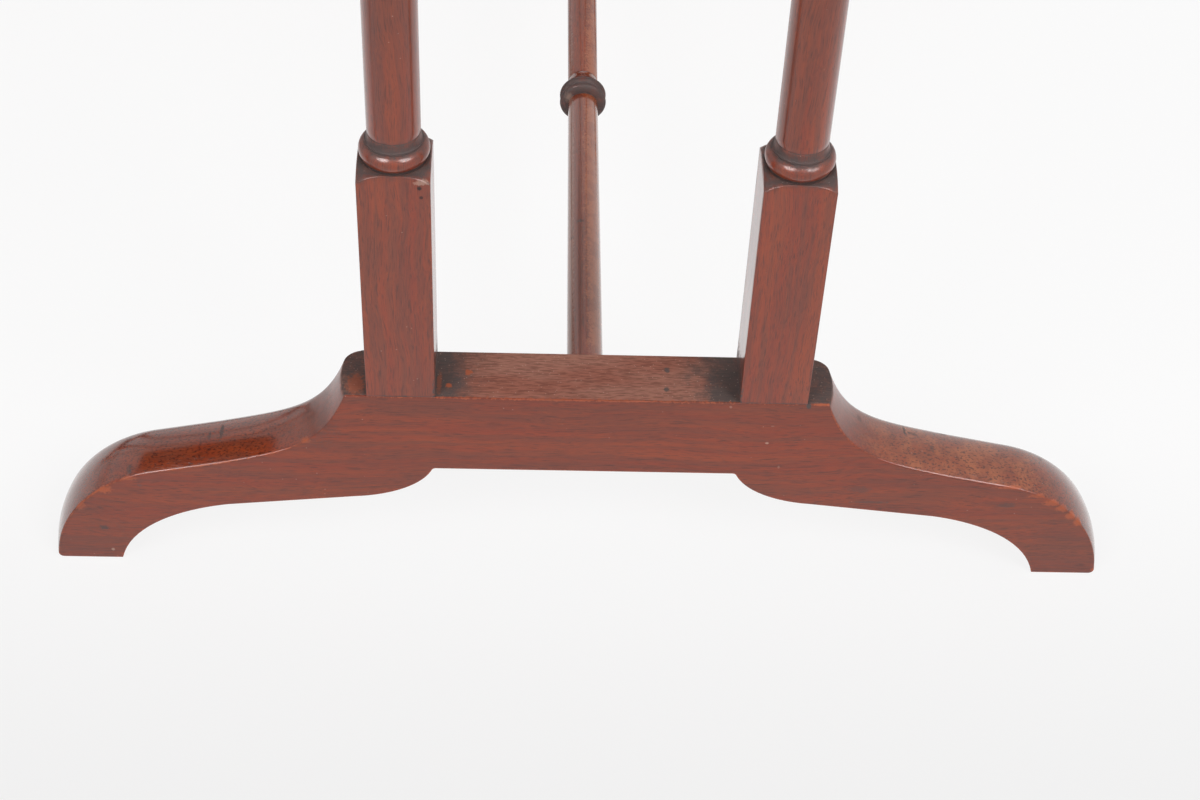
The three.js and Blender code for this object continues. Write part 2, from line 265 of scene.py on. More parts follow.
def curve(start, end, handles, steps):
    """Points after the start of a bezier whose handles are shares of the way along and of the way up."""
    near, far = [
        Vector((lerp(start.x, end.x, along), lerp(start.y, end.y, up))) for along, up in handles
    ]
    return interpolate_bezier(start, near, far, end, steps + 1)[1:]


def new_shape(*names):
    """An empty bmesh whose vertices carry some named values."""
    shape = bmesh.new()
    for name in names:
        shape.verts.layers.float.new(name)
    return shape


def layer_of(shape, name):
    """One of those values."""
    return shape.verts.layers.float[name]


def set_layer(verts, layer, value):
    """Gives every vertex the same value of a layer."""
    for vert in verts:
        vert[layer] = value


def new_box(low, high):
    """A bmesh with one box in it."""
    shape = new_shape("grime", "rim")
    bmesh.ops.create_cube(shape, size=1)
    bmesh.ops.scale(shape, verts=shape.verts, vec=high - low)
    bmesh.ops.translate(shape, verts=shape.verts, vec=(low + high) / 2)
    return shape


def bevelled(shape, parts, offset, segments, affect="EDGES"):
    """Bevels edges or vertices. Returns the vertices that this makes."""
    made = bmesh.ops.bevel(
        shape, geom=parts, affect=affect, offset=offset, segments=segments, profile=0.5, material=-1,
    )
    return made["verts"]


def inset_flats(shape, rim):
    """Insets the two largest faces by a rim. Returns the two faces inside it."""
    flats = sorted(shape.faces, key=lambda face: face.calc_area())[-2:]
    bmesh.ops.inset_region(shape, faces=flats, thickness=rim, use_even_offset=True, use_boundary=True)
    return flats


def vertices_in(parts):
    """The vertices among the parts that an operator gives back."""
    return {part for part in parts if isinstance(part, bmesh.types.BMVert)}


def extrude_ring(shape, ring):
    """Extrudes a closed ring of edges. Returns the new ring and its vertices."""
    made = bmesh.ops.extrude_edge_only(shape, edges=ring)["geom"]
    verts = vertices_in(made)
    edges = [part for part in made if isinstance(part, bmesh.types.BMEdge) and verts.issuperset(part.verts)]
    return edges, verts


def finished(name, shape, material, table, node):
    """Makes a shape into a smooth piece with crisp arrises that stands for its node."""
    bmesh.ops.remove_doubles(shape, verts=shape.verts, dist=WELD)
    bmesh.ops.recalc_face_normals(shape, faces=shape.faces)
    mesh = bpy.data.meshes.new(name)
    shape.to_mesh(mesh)
    shape.free()
    mesh.shade_smooth()
    mesh.set_sharp_from_angle(angle=CRISP_ANGLE)
    mesh.materials.append(material)
    piece = bpy.data.objects.new(name, mesh)
    bpy.context.scene.collection.objects.link(piece)
    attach(piece, body_of(table))
    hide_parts(node)
    return piece


# Feet

VALUES = ("rounding", "grime", "dust", "rubbed")
VECTORS = ("out", "bulge")
OutlinePoint = namedtuple("OutlinePoint", ("place", *VECTORS, *VALUES))

# Handles of an outline's curves: the ear's scoop, the toe, the hollow behind the sole and the lobe
SCOOP = (0.18, 0.66), (0.38, 0.79)
TOE = (0.59, 0.12), (0.98, 0.57)
HEEL = (0.12, 0.62), (0.61, 0.91)
LOBE = (0.45, 0.06), (0.88, 0.42)

# Soiling and painted shade along the rail, under the blocks and at the ear's end, and the share of the scoop
# that it reaches
RAIL_GRIME_AND_SHADE = 0.95
BLOCK_GRIME_AND_SHADE = 0.72
EAR_GRIME_AND_SHADE = 0.75
EAR_DIRT_AND_SHADE_REACH = 0.03


def rail_points(sizes, half_spacing, half_block, height, dirt_and_shade_reach):
    """The flat top of a foot from its middle out to the ear's end."""
    block_inner = half_spacing - half_block
    block_outer = half_spacing + half_block
    ear = block_outer + sizes.ear_width
    points = []
    for start, end, steps in ((0, block_inner, 18), (block_inner, block_outer, 6), (block_outer, ear, 1)):
        for step in range(steps):
            y = lerp(start, end, step / steps)
            # Darker towards each block and under it: soiling and painted shade in the corner
            away = (block_inner - y) / dirt_and_shade_reach
            grime = lerp(RAIL_GRIME_AND_SHADE, 0, min(away, 1)) if y < block_inner else BLOCK_GRIME_AND_SHADE
            points.append(OutlinePoint(Vector((y, height)), Vector((0, 1)), Vector((0, 0)), 0, grime, 1, 0))
    return points, ear


def arm_points(sizes, ear, half_span, height):
    """The top of a foot's arm, from the ear's end down to the floor at the toe's tip."""
    ear_end = Vector((ear, height))
    scoop_end = Vector((ear + sizes.scoop_length, sizes.arm_height))
    toe_start = Vector((half_span - sizes.toe_length, sizes.toe_height))
    toe_end = Vector((half_span, 0))
    line = [ear_end, *curve(ear_end, scoop_end, SCOOP, 26)]
    line += [scoop_end.lerp(toe_start, step / 8) for step in range(1, 9)]
    line += [p for p in curve(toe_start, toe_end, TOE, 30) if p.y > sizes.toe_corner * 1.6]
    points = []
    for number, place in enumerate(line):
        before = line[max(number - 1, 0)]
        after = line[min(number + 1, len(line) - 1)]
        along = (after - before).normalized()
        out = Vector((-along.y, along.x))
        share = (place.x - ear) / sizes.scoop_length
        rounding = lerp(sizes.ear_rounding, sizes.arm_rounding, ease(share))
        crown = lerp(sizes.ear_crown, sizes.arm_crown, ease(share))
        crown = lerp(crown, sizes.toe_crown, ease((place.x - toe_start.x) / sizes.toe_length))
        # The ear's end is dusty and darker: soiling and painted shade
        dust = 1 - ease(share / EAR_DIRT_AND_SHADE_REACH)
        grime = EAR_GRIME_AND_SHADE * dust
        points.append(OutlinePoint(place, out, out * crown, rounding, grime, dust, ease(share / 0.7)))
    first = points[0]
    sideways = Vector((1 / first.out.x, 0))
    points[0] = first._replace(out=sideways, bulge=sideways * sizes.ear_crown)
    return points


def toe_corner_points(sizes, half_span):
    """The round corner where the toe's tip meets the floor."""
    centre = Vector((half_span - sizes.toe_corner, sizes.toe_corner))
    bulge = Vector((sizes.toe_crown, 0))
    points = []
    for angle in quarter(4):
        place = centre + Vector((math.cos(angle), -math.sin(angle))) * sizes.toe_corner
        points.append(OutlinePoint(place, Vector((1, 0)), bulge, sizes.arm_rounding, 0, 0, 0))
    return points


def underside_points(sizes, cusp, half_span):
    """The underside of a foot from its sole in to its middle."""
    heel = Vector((half_span - sizes.sole_length, 0))
    hollow_end = Vector((heel.x - sizes.heel_length, sizes.heel_height))
    lobe_start = Vector((cusp + sizes.lobe_length, sizes.lobe_height))
    lobe_end = Vector((cusp, sizes.arch_height))
    line = [Vector((heel.x + sizes.sole_length / 2, 0)), heel]
    line += curve(heel, hollow_end, HEEL, 18)
    line += [hollow_end.lerp(lobe_start, step / 4) for step in range(1, 5)]
    line += curve(lobe_start, lobe_end, LOBE, 16)
    line += [Vector((cusp * share, sizes.arch_height)) for share in (0.8, 0.6, 0.4, 0.2, 0)]
    still = Vector((0, 0))
    return [OutlinePoint(place, still, still, 0, 0, 0, 0) for place in line]


def foot_outline(sizes, half_spacing, half_block, half_span, height):
    """A foot's whole outline, and the place of its cusp."""
    cusp = half_spacing - half_block + sizes.lobe_setback
    front, ear = rail_points(sizes, half_spacing, half_block, height, sizes.front_dirt_and_shade)
    rear, ear = rail_points(sizes, half_spacing, half_block, height, sizes.rear_dirt_and_shade)
    beyond = arm_points(sizes, ear, half_span, height)
    beyond += toe_corner_points(sizes, half_span) + underside_points(sizes, cusp, half_span)
    mirror = Vector((-1, 1))
    mirrored = [
        p._replace(place=p.place * mirror, out=p.out * mirror, bulge=p.bulge * mirror)
        for p in (front + beyond)[-2:0:-1]
    ]
    return rear + beyond + mirrored, Vector((cusp, sizes.arch_height))


def foot_face(shape, outline, cusp, sizes):
    """Draws a foot's outline as one flat face, with its two cusps rounded."""
    for name in VECTORS:
        shape.verts.layers.float_vector.new(name)
    verts = []
    for point in outline:
        vert = shape.verts.new((0, *point.place))
        for name in VECTORS:
            vert[shape.verts.layers.float_vector[name]] = (0, *getattr(point, name))
        for name in VALUES:
            vert[layer_of(shape, name)] = getattr(point, name)
        verts.append(vert)
    shape.faces.new(verts)
    cusps = [vert for vert in shape.verts if (Vector((abs(vert.co.y), vert.co.z)) - cusp).length < WELD]
    bevelled(shape, cusps, sizes.cusp_corner, 3, "VERTICES")
    return next(iter(shape.faces))


def swell(depth, thickness):
    """The share of an arm's full bulge at a depth from the outer face."""
    return 1 - (depth / thickness * 2 - 1) ** 2


def fall(radius, depth, thickness):
    """How far a rounded inner arris has fallen away at a depth from the outer face."""
    inside = max(depth - (thickness - radius), 0)
    return radius - math.sqrt(max(radius ** 2 - inside ** 2, 0))


def foot_stations(sizes, thickness):
    """Depths from a foot's outer face at which its outline is repeated."""
    plain = [share * thickness for share in (0.03, 0.1, 0.2, 0.34, 0.48, 0.6, 0.72)]
    radius = max(sizes.ear_rounding, sizes.arm_rounding)
    return plain + [thickness - radius * (1 - math.sin(angle)) for angle in quarter(7)]


def extrude_foot(shape, face, sizes, thickness):
    """Carries the outline through the foot's thickness. Returns its outer and inner faces."""
    rounding = layer_of(shape, "rounding")
    out, bulge = [shape.verts.layers.float_vector[name] for name in VECTORS]
    outer = face
    before = 0
    for depth in foot_stations(sizes, thickness):
        made = bmesh.ops.extrude_face_region(shape, geom=[face])["geom"]
        if face is not outer:
            bmesh.ops.delete(shape, geom=[face], context="FACES_ONLY")
        face = next(part for part in made if isinstance(part, bmesh.types.BMFace))
        gain = swell(depth, thickness) - swell(before, thickness)
        for vert in face.verts:
            loss = fall(vert[rounding], depth, thickness) - fall(vert[rounding], before, thickness)
            vert.co += Vector((depth - before, 0, 0)) + vert[bulge] * gain - vert[out] * loss
        before = depth
    return outer, face


def soften_foot(shape, outer, inner, sizes, ear, height):
    """Bevels a foot's arrises and marks where they are worn."""
    rounding, *marks = [layer_of(shape, name) for name in VALUES]
    out = shape.verts.layers.float_vector["out"]
    rim = layer_of(shape, "rim")
    arrises = list(outer.edges)
    arrises += [edge for edge in inner.edges if all(vert[rounding] < WELD for vert in edge.verts)]
    for edge in shape.edges:
        across = edge.verts[1].co - edge.verts[0].co
        by_ear = all(abs(abs(vert.co.y) - ear) < 4 * MM for vert in edge.verts)
        at_top = all(vert.co.z > height - 3 * MM for vert in edge.verts)
        angled = edge.calc_face_angle(0) > math.radians(40)
        if by_ear and at_top and angled and abs(across.x) > WELD and edge not in arrises:
            arrises.append(edge)
    for vert in bevelled(shape, arrises, sizes.arris, 2):
        on_top = vert.co.z > height - sizes.arris * 2
        underneath = vert[out].length < 0.5
        # Wear along the underside is stronger: bare wood, and a painted highlight where the bottom arris
        # catches light from the floor
        vert[rim] = 0.78 if on_top else 1.2 if underneath else 1
    for face in inset_flats(shape, sizes.rim):
        for layer in (rim, *marks):
            set_layer(face.verts, layer, 0)
    for layer in marks:
        set_layer([vert for vert in shape.verts if vert.co.x < sizes.arris * 2], layer, 0)


def make_foot(sizes, table, side, material):
    """One shaped foot, in place of its node."""
    node = f"{table}_{side}_foot"
    low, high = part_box(node)
    top_low, top_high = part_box(f"{table}_top")
    block_low, block_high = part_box(f"{table}_{side}_front_column")
    thickness = high.x - low.x
    half_spacing = column_spacing(table, side) / 2
    half_block = (block_high.y - block_low.y) / 2
    half_span = (top_high.y - top_low.y) / 2
    shape = new_shape(*VALUES, "rim")
    outline, cusp = foot_outline(sizes, half_spacing, half_block, half_span, high.z)
    face = foot_face(shape, outline, cusp, sizes)
    outer, inner = extrude_foot(shape, face, sizes, thickness)
    ear = half_spacing + half_block + sizes.ear_width
    soften_foot(shape, outer, inner, sizes, ear, high.z)
    shape.verts.layers.float.remove(layer_of(shape, "rounding"))
    for name in VECTORS:
        shape.verts.layers.float_vector.remove(shape.verts.layers.float_vector[name])
    turn = 1 if side == "left" else -1
    start = low.x if side == "left" else high.x
    middle_y = centre_of(node).y
    for vert in shape.verts:
        vert.co = Vector((start + turn * vert.co.x, middle_y + vert.co.y, vert.co.z))
    foot = finished(f"{table}_{side}_shaped_foot", shape, material, table, node)
    foot.modifiers.new("Crisp arrises", "WEIGHTED_NORMAL").keep_sharp = True


# Turnings

# A block's round shoulder, its bands beside the arch and the end, and a stretcher's dirty end
SHOULDER_INSET = 0.6 * MM
SHOULDER_HOLLOW = 0.3 * MM
SHOULDER_BAND = 3.2 * MM
END_BAND = 0.9 * MM
END_DIRT = 3 * MM

# Half the width of a stretcher's scribed line, and twice its depth
SCRIBED_LINE = 0.3 * MM


def ring_profile(sizes):
    """The turned ring above a block, as radius, height and darkening, up to the plain shaft."""
    # The darkening is soiling and painted shade, most in the hollow under the ring, over its upper part and
    # in the cove above it
    points = [(sizes.neck_radius + 0.3 * MM, -0.25 * MM, 1), (sizes.neck_radius, -0.3 * MM, 1)]
    first, last = [
        math.acos((radius - sizes.ring_core) / sizes.ring_tube)
        for radius in (sizes.neck_radius, sizes.fillet_radius)
    ]
    steps = 14
    for step in range(steps + 1):
        angle = lerp(-first, last, step / steps)
        radius = sizes.ring_core + sizes.ring_tube * math.cos(angle)
        height = sizes.ring_rise + sizes.ring_tube * math.sin(angle)
        points.append((radius, height, 0.8 if step == 0 else lerp(0.2, 0.75, (step / steps) ** 3)))
    fillet_top = points[-1][1] + 0.6 * MM
    points.append((sizes.fillet_radius, fillet_top, 0.85))
    cove = sizes.fillet_radius - sizes.shaft_radius
    for step in range(1, 7):
        angle = math.radians(90) * step / 6
        radius = sizes.shaft_radius + cove * (1 - math.sin(angle))
        height = fillet_top + sizes.cove_length * (1 - math.cos(angle))
        points.append((radius, height, lerp(0.95, 0.6, step / 6)))
    for depth, above, grime in ((0.1, 0.15, 0.85), (0, 0.4, 0.4), (0, 2, 0)):
        points.append((sizes.shaft_radius - depth * MM, height + above * MM, grime))
    return points


def double_bead(sizes, rod, dirt_and_shade):
    """Two beads with a groove between them, as radius, height and darkening about their middle."""
    crest = sizes.bead_radius
    middle = sizes.crest_spacing / 2
    half = [(crest - sizes.groove, 0, 1)]
    steps = 5
    for step in range(1, steps + 1):
        share = step / steps
        half.append((crest - sizes.groove * (1 - share) ** 2, middle * share, dirt_and_shade))
    steps = 7
    for step in range(1, steps + 1):
        angle = math.radians(90) * step / steps
        height = middle + sizes.bead_end * math.sin(angle)
        half.append((lerp(rod, crest, math.cos(angle)), height, dirt_and_shade if step < steps else 1))
    mirrored = [(radius, -height, grime) for radius, height, grime in half[:0:-1]]
    return mirrored + half


def spin_profile(shape, profile, steps):
    """Spins a profile of radius, height and darkening about the Z axis."""
    verts = []
    for radius, height, dirt_and_shade in profile:
        vert = shape.verts.new((radius, 0, height))
        vert[layer_of(shape, "grime")] = dirt_and_shade
        verts.append(vert)
    edges = [shape.edges.new(pair) for pair in zip(verts, verts[1:])]
    bmesh.ops.spin(
        shape, geom=verts + edges, cent=(0, 0, 0), axis=(0, 0, 1), dvec=(0, 0, 0), angle=math.radians(360),
        steps=steps, use_merge=True,
    )


def column_profile(sizes, lower, upper):
    """A column's turned part between the shoulders of its two blocks."""
    ring = ring_profile(sizes)
    fillet = sizes.shaft_radius + sizes.bead_fillet
    bead = double_bead(sizes, fillet, 0.2)
    end = bead[-1][1]
    beside = [(fillet, 1.1, 0), (sizes.shaft_radius, 1.2, 0.6), (sizes.shaft_radius, 2.5, 0)]
    below = [(radius, -end - offset * MM, dirt_and_shade) for radius, offset, dirt_and_shade in reversed(beside)]
    above = [(radius, end + offset * MM, dirt_and_shade) for radius, offset, dirt_and_shade in beside]
    middle = (lower + upper) / 2
    profile = [(radius, lower + height, dirt_and_shade) for radius, height, dirt_and_shade in ring]
    profile += [(radius, middle + height, dirt_and_shade) for radius, height, dirt_and_shade in below + bead + above]
    profile += [(radius, upper - height, dirt_and_shade) for radius, height, dirt_and_shade in reversed(ring)]
    return profile


def to_square(flat, half_x, half_y):
    """The point of a block's outline in the direction of a point."""
    return flat / max(abs(flat.x) / half_x, abs(flat.y) / half_y)


def square_block(shape, sizes, shoulder, end, half_x, half_y):
    """Carries a turned shoulder out to a square block and along to its end. Returns the arched edges."""
    grime = layer_of(shape, "grime")
    dust = layer_of(shape, "dust")
    down = 1 if end > shoulder else -1
    reach = math.hypot(half_x, half_y) - half_x
    circle_radius = half_x - SHOULDER_INSET
    ring = [
        edge for edge in shape.edges
        if edge.is_boundary and all(abs(vert.co.z - shoulder) < 2 * MM for vert in edge.verts)
    ]
    # The shoulder is dusty and darkened: soiling and painted shade under the ring
    for share, dirt_and_shade, powder in ((0, 0.6, 0.8), (0.45, 0.8, 0.4), (1, 0.5, 0.1)):
        ring, verts = extrude_ring(shape, ring)
        for vert in verts:
            flat = Vector((vert.co.x, vert.co.y))
            if share == 0:
                flat = Vector((flat.x * half_x, flat.y * half_y)).normalized() * circle_radius
            flat = flat.normalized() * circle_radius
            flat = flat.lerp(to_square(flat, half_x, half_y), share)
            drop = max((flat.length - half_x) / reach, 0) ** 1.6
            hollow = max((half_x - flat.length) / (half_x - sizes.neck_radius), 0) ** 1.5
            vert.co = (*flat, shoulder + down * (sizes.shoulder_rise * drop + SHOULDER_HOLLOW * hollow))
            vert[grime] = dirt_and_shade
            vert[dust] = powder
    arch = ring
    bands = ((shoulder + down * SHOULDER_BAND, 0), (end - down * END_BAND, 0), (end, 0.7))
    for height, dirt_and_shade in bands:
        ring, verts = extrude_ring(shape, ring)
        for vert in verts:
            vert.co.z = height
            vert[grime] = dirt_and_shade
            vert[dust] = 0
    bmesh.ops.contextual_create(shape, geom=ring)
    return arch


def bevel_block_edges(shape, sizes, arches, half_x, half_y):
    """Bevels the blocks' corners and arched edges, and marks them as worn."""
    arrises = list(arches)
    for edge in shape.edges:
        place = edge.verts[0].co
        across = edge.verts[1].co - place
        upright = math.hypot(across.x, across.y) < WELD < abs(across.z)
        if upright and abs(abs(place.x) - half_x) + abs(abs(place.y) - half_y) < WELD * 2:
            arrises.append(edge)
    set_layer(bevelled(shape, arrises, sizes.arris, 2), layer_of(shape, "rim"), 1)


def make_column(sizes, table, side, place, material):
    """One turned column with its two square blocks, in place of its node."""
    node = f"{table}_{side}_{place}_column"
    low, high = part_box(node)
    half_x = (high.x - low.x) / 2
    half_y = (high.y - low.y) / 2
    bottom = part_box(f"{table}_{side}_foot")[1].z
    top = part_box(f"{table}_{side}_bearer")[0].z
    lower = bottom + sizes.lower_block + sizes.shoulder_rise
    upper = top - sizes.upper_block - sizes.shoulder_rise
    shape = new_shape("grime", "rim", "dust")
    spin_profile(shape, column_profile(sizes, lower, upper), sizes.turned_steps)
    arches = square_block(shape, sizes, lower, bottom, half_x, half_y)
    arches += square_block(shape, sizes, upper, top, half_x, half_y)
    bevel_block_edges(shape, sizes, arches, half_x, half_y)
    axis = centre_of(node)
    bmesh.ops.translate(shape, verts=shape.verts, vec=(axis.x, axis.y, 0))
    finished(f"{table}_{side}_{place}_turned_column", shape, material, table, node)


def stretcher_profile(sizes, half_length):
    """A stretcher's rod and beads, as radius, height and darkening. The scribed line is on one side alone.
    """
    # The beads are darkened all over, most in the groove and at their ends: a painted dark reflection
    bead = double_bead(sizes, sizes.radius, 0.78)
    end = bead[-1][1]
    fillet_end = end + sizes.fillet_length
    scribe = fillet_end + sizes.scribe_gap
    return [
        (sizes.end_radius, -half_length, 1),
        (sizes.end_radius, -half_length + END_DIRT, 0),
        (sizes.radius, -end - 0.6 * MM, 0),
        *bead,
        (sizes.fillet_radius, end + 0.1 * MM, 0.5),
        (sizes.fillet_radius, fillet_end - 0.6 * MM, 0),
        (lerp(sizes.radius, sizes.fillet_radius, 0.45), fillet_end - 0.15 * MM, 0.2),
        (sizes.radius, fillet_end + 0.3 * MM, 0.4),
        (sizes.radius, scribe - SCRIBED_LINE, 0),
        (sizes.radius - SCRIBED_LINE / 2, scribe, 1),
        (sizes.radius, scribe + SCRIBED_LINE, 0),
        (sizes.end_radius, half_length - END_DIRT, 0),
        (sizes.end_radius, half_length, 1),
    ]


def make_stretcher(sizes, table, steps, material):
    """One turned stretcher, in place of its node."""
    node = f"{table}_stretcher"
    low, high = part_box(node)
    axis = centre_of(node)
    half_length = (high.x - low.x) / 2 - sizes.tenon
    shape = new_shape("grime", "rim", "rubbed", "dust")
    spin_profile(shape, stretcher_profile(sizes, half_length), steps)
    for end in (-half_length, half_length):
        ring = [edge for edge in shape.edges if edge.is_boundary and abs(edge.verts[0].co.z - end) < WELD]
        bmesh.ops.contextual_create(shape, geom=ring)
    # Off the beads the rod takes the painted light of its lit side; the beads are dusted and dull
    for vert in shape.verts:
        on_bead = math.hypot(vert.co.x, vert.co.y) > sizes.end_radius + 0.2 * MM
        vert[layer_of(shape, "rubbed")] = 0 if on_bead else 1
        vert[layer_of(shape, "dust")] = 0.25 if on_bead else 0
        vert.co = Vector((vert.co.z, vert.co.y, -vert.co.x)) + axis
    finished(f"{table}_turned_stretcher", shape, material, table, node)


# Tops

def make_top(sizes, table, material):
    """One top with round corners and a rounded edge, in place of its node."""
    node = f"{table}_top"
    low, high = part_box(node)
    shape = new_box(low, high)
    rim = layer_of(shape, "rim")
    corners = [edge for edge in shape.edges if abs(edge.verts[0].co.z - edge.verts[1].co.z) > WELD]
    bevelled(shape, corners, sizes.corner_radius, 8)
    edges = [edge for edge in shape.edges if abs(edge.verts[0].co.z - edge.verts[1].co.z) < WELD]
    set_layer(bevelled(shape, edges, sizes.edge_round, 6), rim, 0.55)
    for face in inset_flats(shape, sizes.rim):
        set_layer(face.verts, rim, 0)
        under = face.calc_center_median().z < centre_of(node).z
        set_layer(face.verts, layer_of(shape, "grime"), 0.25 if under else 0)
    finished(f"{table}_moulded_top", shape, material, table, node)


# Bearers and screws

def sink_screws(shape, sizes, outline, places):
    """Fills a bearer's underside round its screws' holes, each a cone with a flat bottom."""
    rings = []
    for place in places:
        radius = sizes.head_radius + sizes.sink_gap
        verts = bmesh.ops.create_circle(shape, cap_ends=False, radius=radius, segments=24)["verts"]
        bmesh.ops.translate(shape, verts=verts, vec=place)
        rings.append([edge for edge in shape.edges if set(verts).issuperset(edge.verts)])
    bmesh.ops.triangle_fill(shape, use_beauty=True, edges=sum(rings, outline))
    for place, ring in zip(places, rings):
        inner, verts = extrude_ring(shape, ring)
        for vert in verts:
            vert.co = place + (vert.co - place) * 0.55 + Vector((0, 0, sizes.head_depth))
        bmesh.ops.contextual_create(shape, geom=inner)


def make_bearer(sizes, table, side, material):
    """One bearer with round lower ends and two screw holes, in place of its node."""
    node = f"{table}_{side}_bearer"
    low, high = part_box(node)
    shape = new_box(low, high)
    ends = [
        edge for edge in shape.edges
        if abs(edge.verts[0].co.x - edge.verts[1].co.x) > WELD and edge.verts[0].co.z < low.z + WELD
    ]
    bevelled(shape, ends, sizes.end_radius, 10)
    arrises = [edge for edge in shape.edges if edge.calc_face_angle(0) > math.radians(60)]
    set_layer(bevelled(shape, arrises, sizes.arris, 2), layer_of(shape, "rim"), 0.8)
    under = max((face for face in shape.faces if face.normal.z < -0.99), key=lambda face: face.calc_area())
    outline = list(under.edges)
    bmesh.ops.delete(shape, geom=[under], context="FACES_ONLY")
    middle_x = centre_of(node).x
    rows = (low.y + sizes.screw_inset, high.y - sizes.screw_inset)
    sink_screws(shape, sizes, outline, [Vector((middle_x, y, low.z)) for y in rows])
    set_layer(shape.verts, layer_of(shape, "grime"), 0.35)
    finished(f"{table}_{side}_rounded_bearer", shape, material, table, node)


def make_screw(sizes, table, side, place, material):
    """One slotted countersunk screw, in place of its node."""
    node = f"{table}_{side}_{place}_screw"
    shape = new_shape("grime", "rim")
    bmesh.ops.create_circle(shape, cap_ends=True, radius=sizes.head_radius, segments=32)
    ring = list(shape.edges)
    for radius, height in (
        (sizes.head_radius, sizes.head_edge), (sizes.shank_radius, sizes.head_depth),
        (sizes.shank_radius, sizes.shank_end), (sizes.tip_radius, sizes.tip_end),
    ):
        ring, verts = extrude_ring(shape, ring)
        for vert in verts:
            vert.co = (*(Vector((vert.co.x, vert.co.y)).normalized() * radius), height)
    bmesh.ops.contextual_create(shape, geom=ring)
    for across in (-sizes.slot_width / 2, sizes.slot_width / 2):
        flats = [face for face in shape.faces if all(abs(vert.co.z) < WELD for vert in face.verts)]
        parts = flats + list({edge for face in flats for edge in face.edges})
        parts += list({vert for face in flats for vert in face.verts})
        bmesh.ops.bisect_plane(shape, geom=parts, plane_co=(0, across, 0), plane_no=(0, 1, 0))
    slot = min(
        (face for face in shape.faces if all(abs(vert.co.z) < WELD for vert in face.verts)),
        key=lambda face: abs(face.calc_center_median().y),
    )
    floor = bmesh.ops.extrude_face_region(shape, geom=[slot])["geom"]
    bmesh.ops.delete(shape, geom=[slot], context="FACES_ONLY")
    for vert in vertices_in(floor):
        vert.co.z += sizes.slot_depth
    middle = centre_of(node)
    turn = math.radians(37) * (len(table) + len(side) + len(place))
    bmesh.ops.rotate(shape, verts=shape.verts, cent=(0, 0, 0), matrix=Matrix.Rotation(turn, 3, "Z"))
    bmesh.ops.translate(shape, verts=shape.verts, vec=(middle.x, middle.y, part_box(node)[0].z))
    finished(f"{table}_{side}_{place}_slotted_screw", shape, material, table, node)


# Nodes

SOCKETS = {"vector": "NodeSocketVector", "value": "NodeSocketFloat", "colour": "NodeSocketColor"}


def add_node(tree, kind, **settings):
    """Adds a node with its settings."""
    node = tree.nodes.new(kind)
    for name, value in settings.items():
        setattr(node, name, value)
    return node


def feed(tree, socket, value):
    """Sets an input, or links another node's output to it. A plain colour has no alpha."""
    if isinstance(value, bpy.types.NodeSocket):
        tree.links.new(value, socket)
    elif socket.type == "RGBA":
        socket.default_value = (*value, 1)
    else:
        socket.default_value = value


def maths(tree, operation, *values, clamp=False):
    """The output of a maths node."""
    node = add_node(tree, "ShaderNodeMath", operation=operation, use_clamp=clamp)
    for socket, value in zip(node.inputs, values):
        feed(tree, socket, value)
    return node.outputs[0]


def product(tree, *values):
    """The product of one or more values."""
    result = values[0]
    for value in values[1:]:
        result = maths(tree, "MULTIPLY", result, value)
    return result


def vector_maths(tree, operation, *values, output="Vector"):
    """The output of a vector maths node. One number stands for three that are the same."""
    node = add_node(tree, "ShaderNodeVectorMath", operation=operation)
    for socket, value in zip(node.inputs, values):
        feed(tree, socket, (value, value, value) if isinstance(value, float) else value)
    return node.outputs[output]


def painted(tree, below, above, *masks):
    """One shade over another, as strong as the product of some masks or shares."""
    node = add_node(tree, "ShaderNodeMix", data_type="RGBA")
    for number, value in ((0, product(tree, *masks)), (6, below), (7, above)):
        feed(tree, node.inputs[number], value)
    return node.outputs[2]


def step_between(tree, value, low, high):
    """A smooth step of a value between two thresholds."""
    node = add_node(tree, "ShaderNodeMapRange", interpolation_type="SMOOTHSTEP")
    for name, given in (("Value", value), ("From Min", low), ("From Max", high)):
        feed(tree, node.inputs[name], given)
    return node.outputs["Result"]


def noise(tree, vector, scale, detail=2, output="Fac"):
    """Noise on a vector in millimetres, scaled along each axis."""
    node = add_node(tree, "ShaderNodeTexNoise")
    feed(tree, node.inputs["Vector"], vector_maths(tree, "MULTIPLY", vector, scale))
    node.inputs["Scale"].default_value = 1
    node.inputs["Detail"].default_value = detail
    return node.outputs[output]


def patches(tree, vector, scale, detail, low, high):
    """Noise cut to a mask between two thresholds."""
    return step_between(tree, noise(tree, vector, scale, detail), low, high)


def flecks(tree, vector, scale, outer, inner):
    """A mask of scattered flecks, scaled along each axis."""
    node = add_node(tree, "ShaderNodeTexVoronoi")
    feed(tree, node.inputs["Vector"], vector_maths(tree, "MULTIPLY", vector, scale))
    node.inputs["Scale"].default_value = 1
    return step_between(tree, node.outputs["Distance"], outer, inner)


def new_group(name, inputs, outputs):
    """An empty shader node group with named sockets, and what it is given and has to put out."""
    group = bpy.data.node_groups.new(name, "ShaderNodeTree")
    for side, sockets in (("INPUT", inputs), ("OUTPUT", outputs)):
        for label, kind in sockets.items():
            group.interface.new_socket(name=label, in_out=side, socket_type=SOCKETS[kind])
    given = group.nodes.new("NodeGroupInput").outputs
    wanted = group.nodes.new("NodeGroupOutput").inputs
    return group, given, wanted


def use_group(tree, name, **values):
    """Places a shared group in a material. Returns its outputs."""
    node = add_node(tree, "ShaderNodeGroup", node_tree=bpy.data.node_groups[name])
    for label, value in values.items():
        feed(tree, node.inputs[label], value)
    return node.outputs


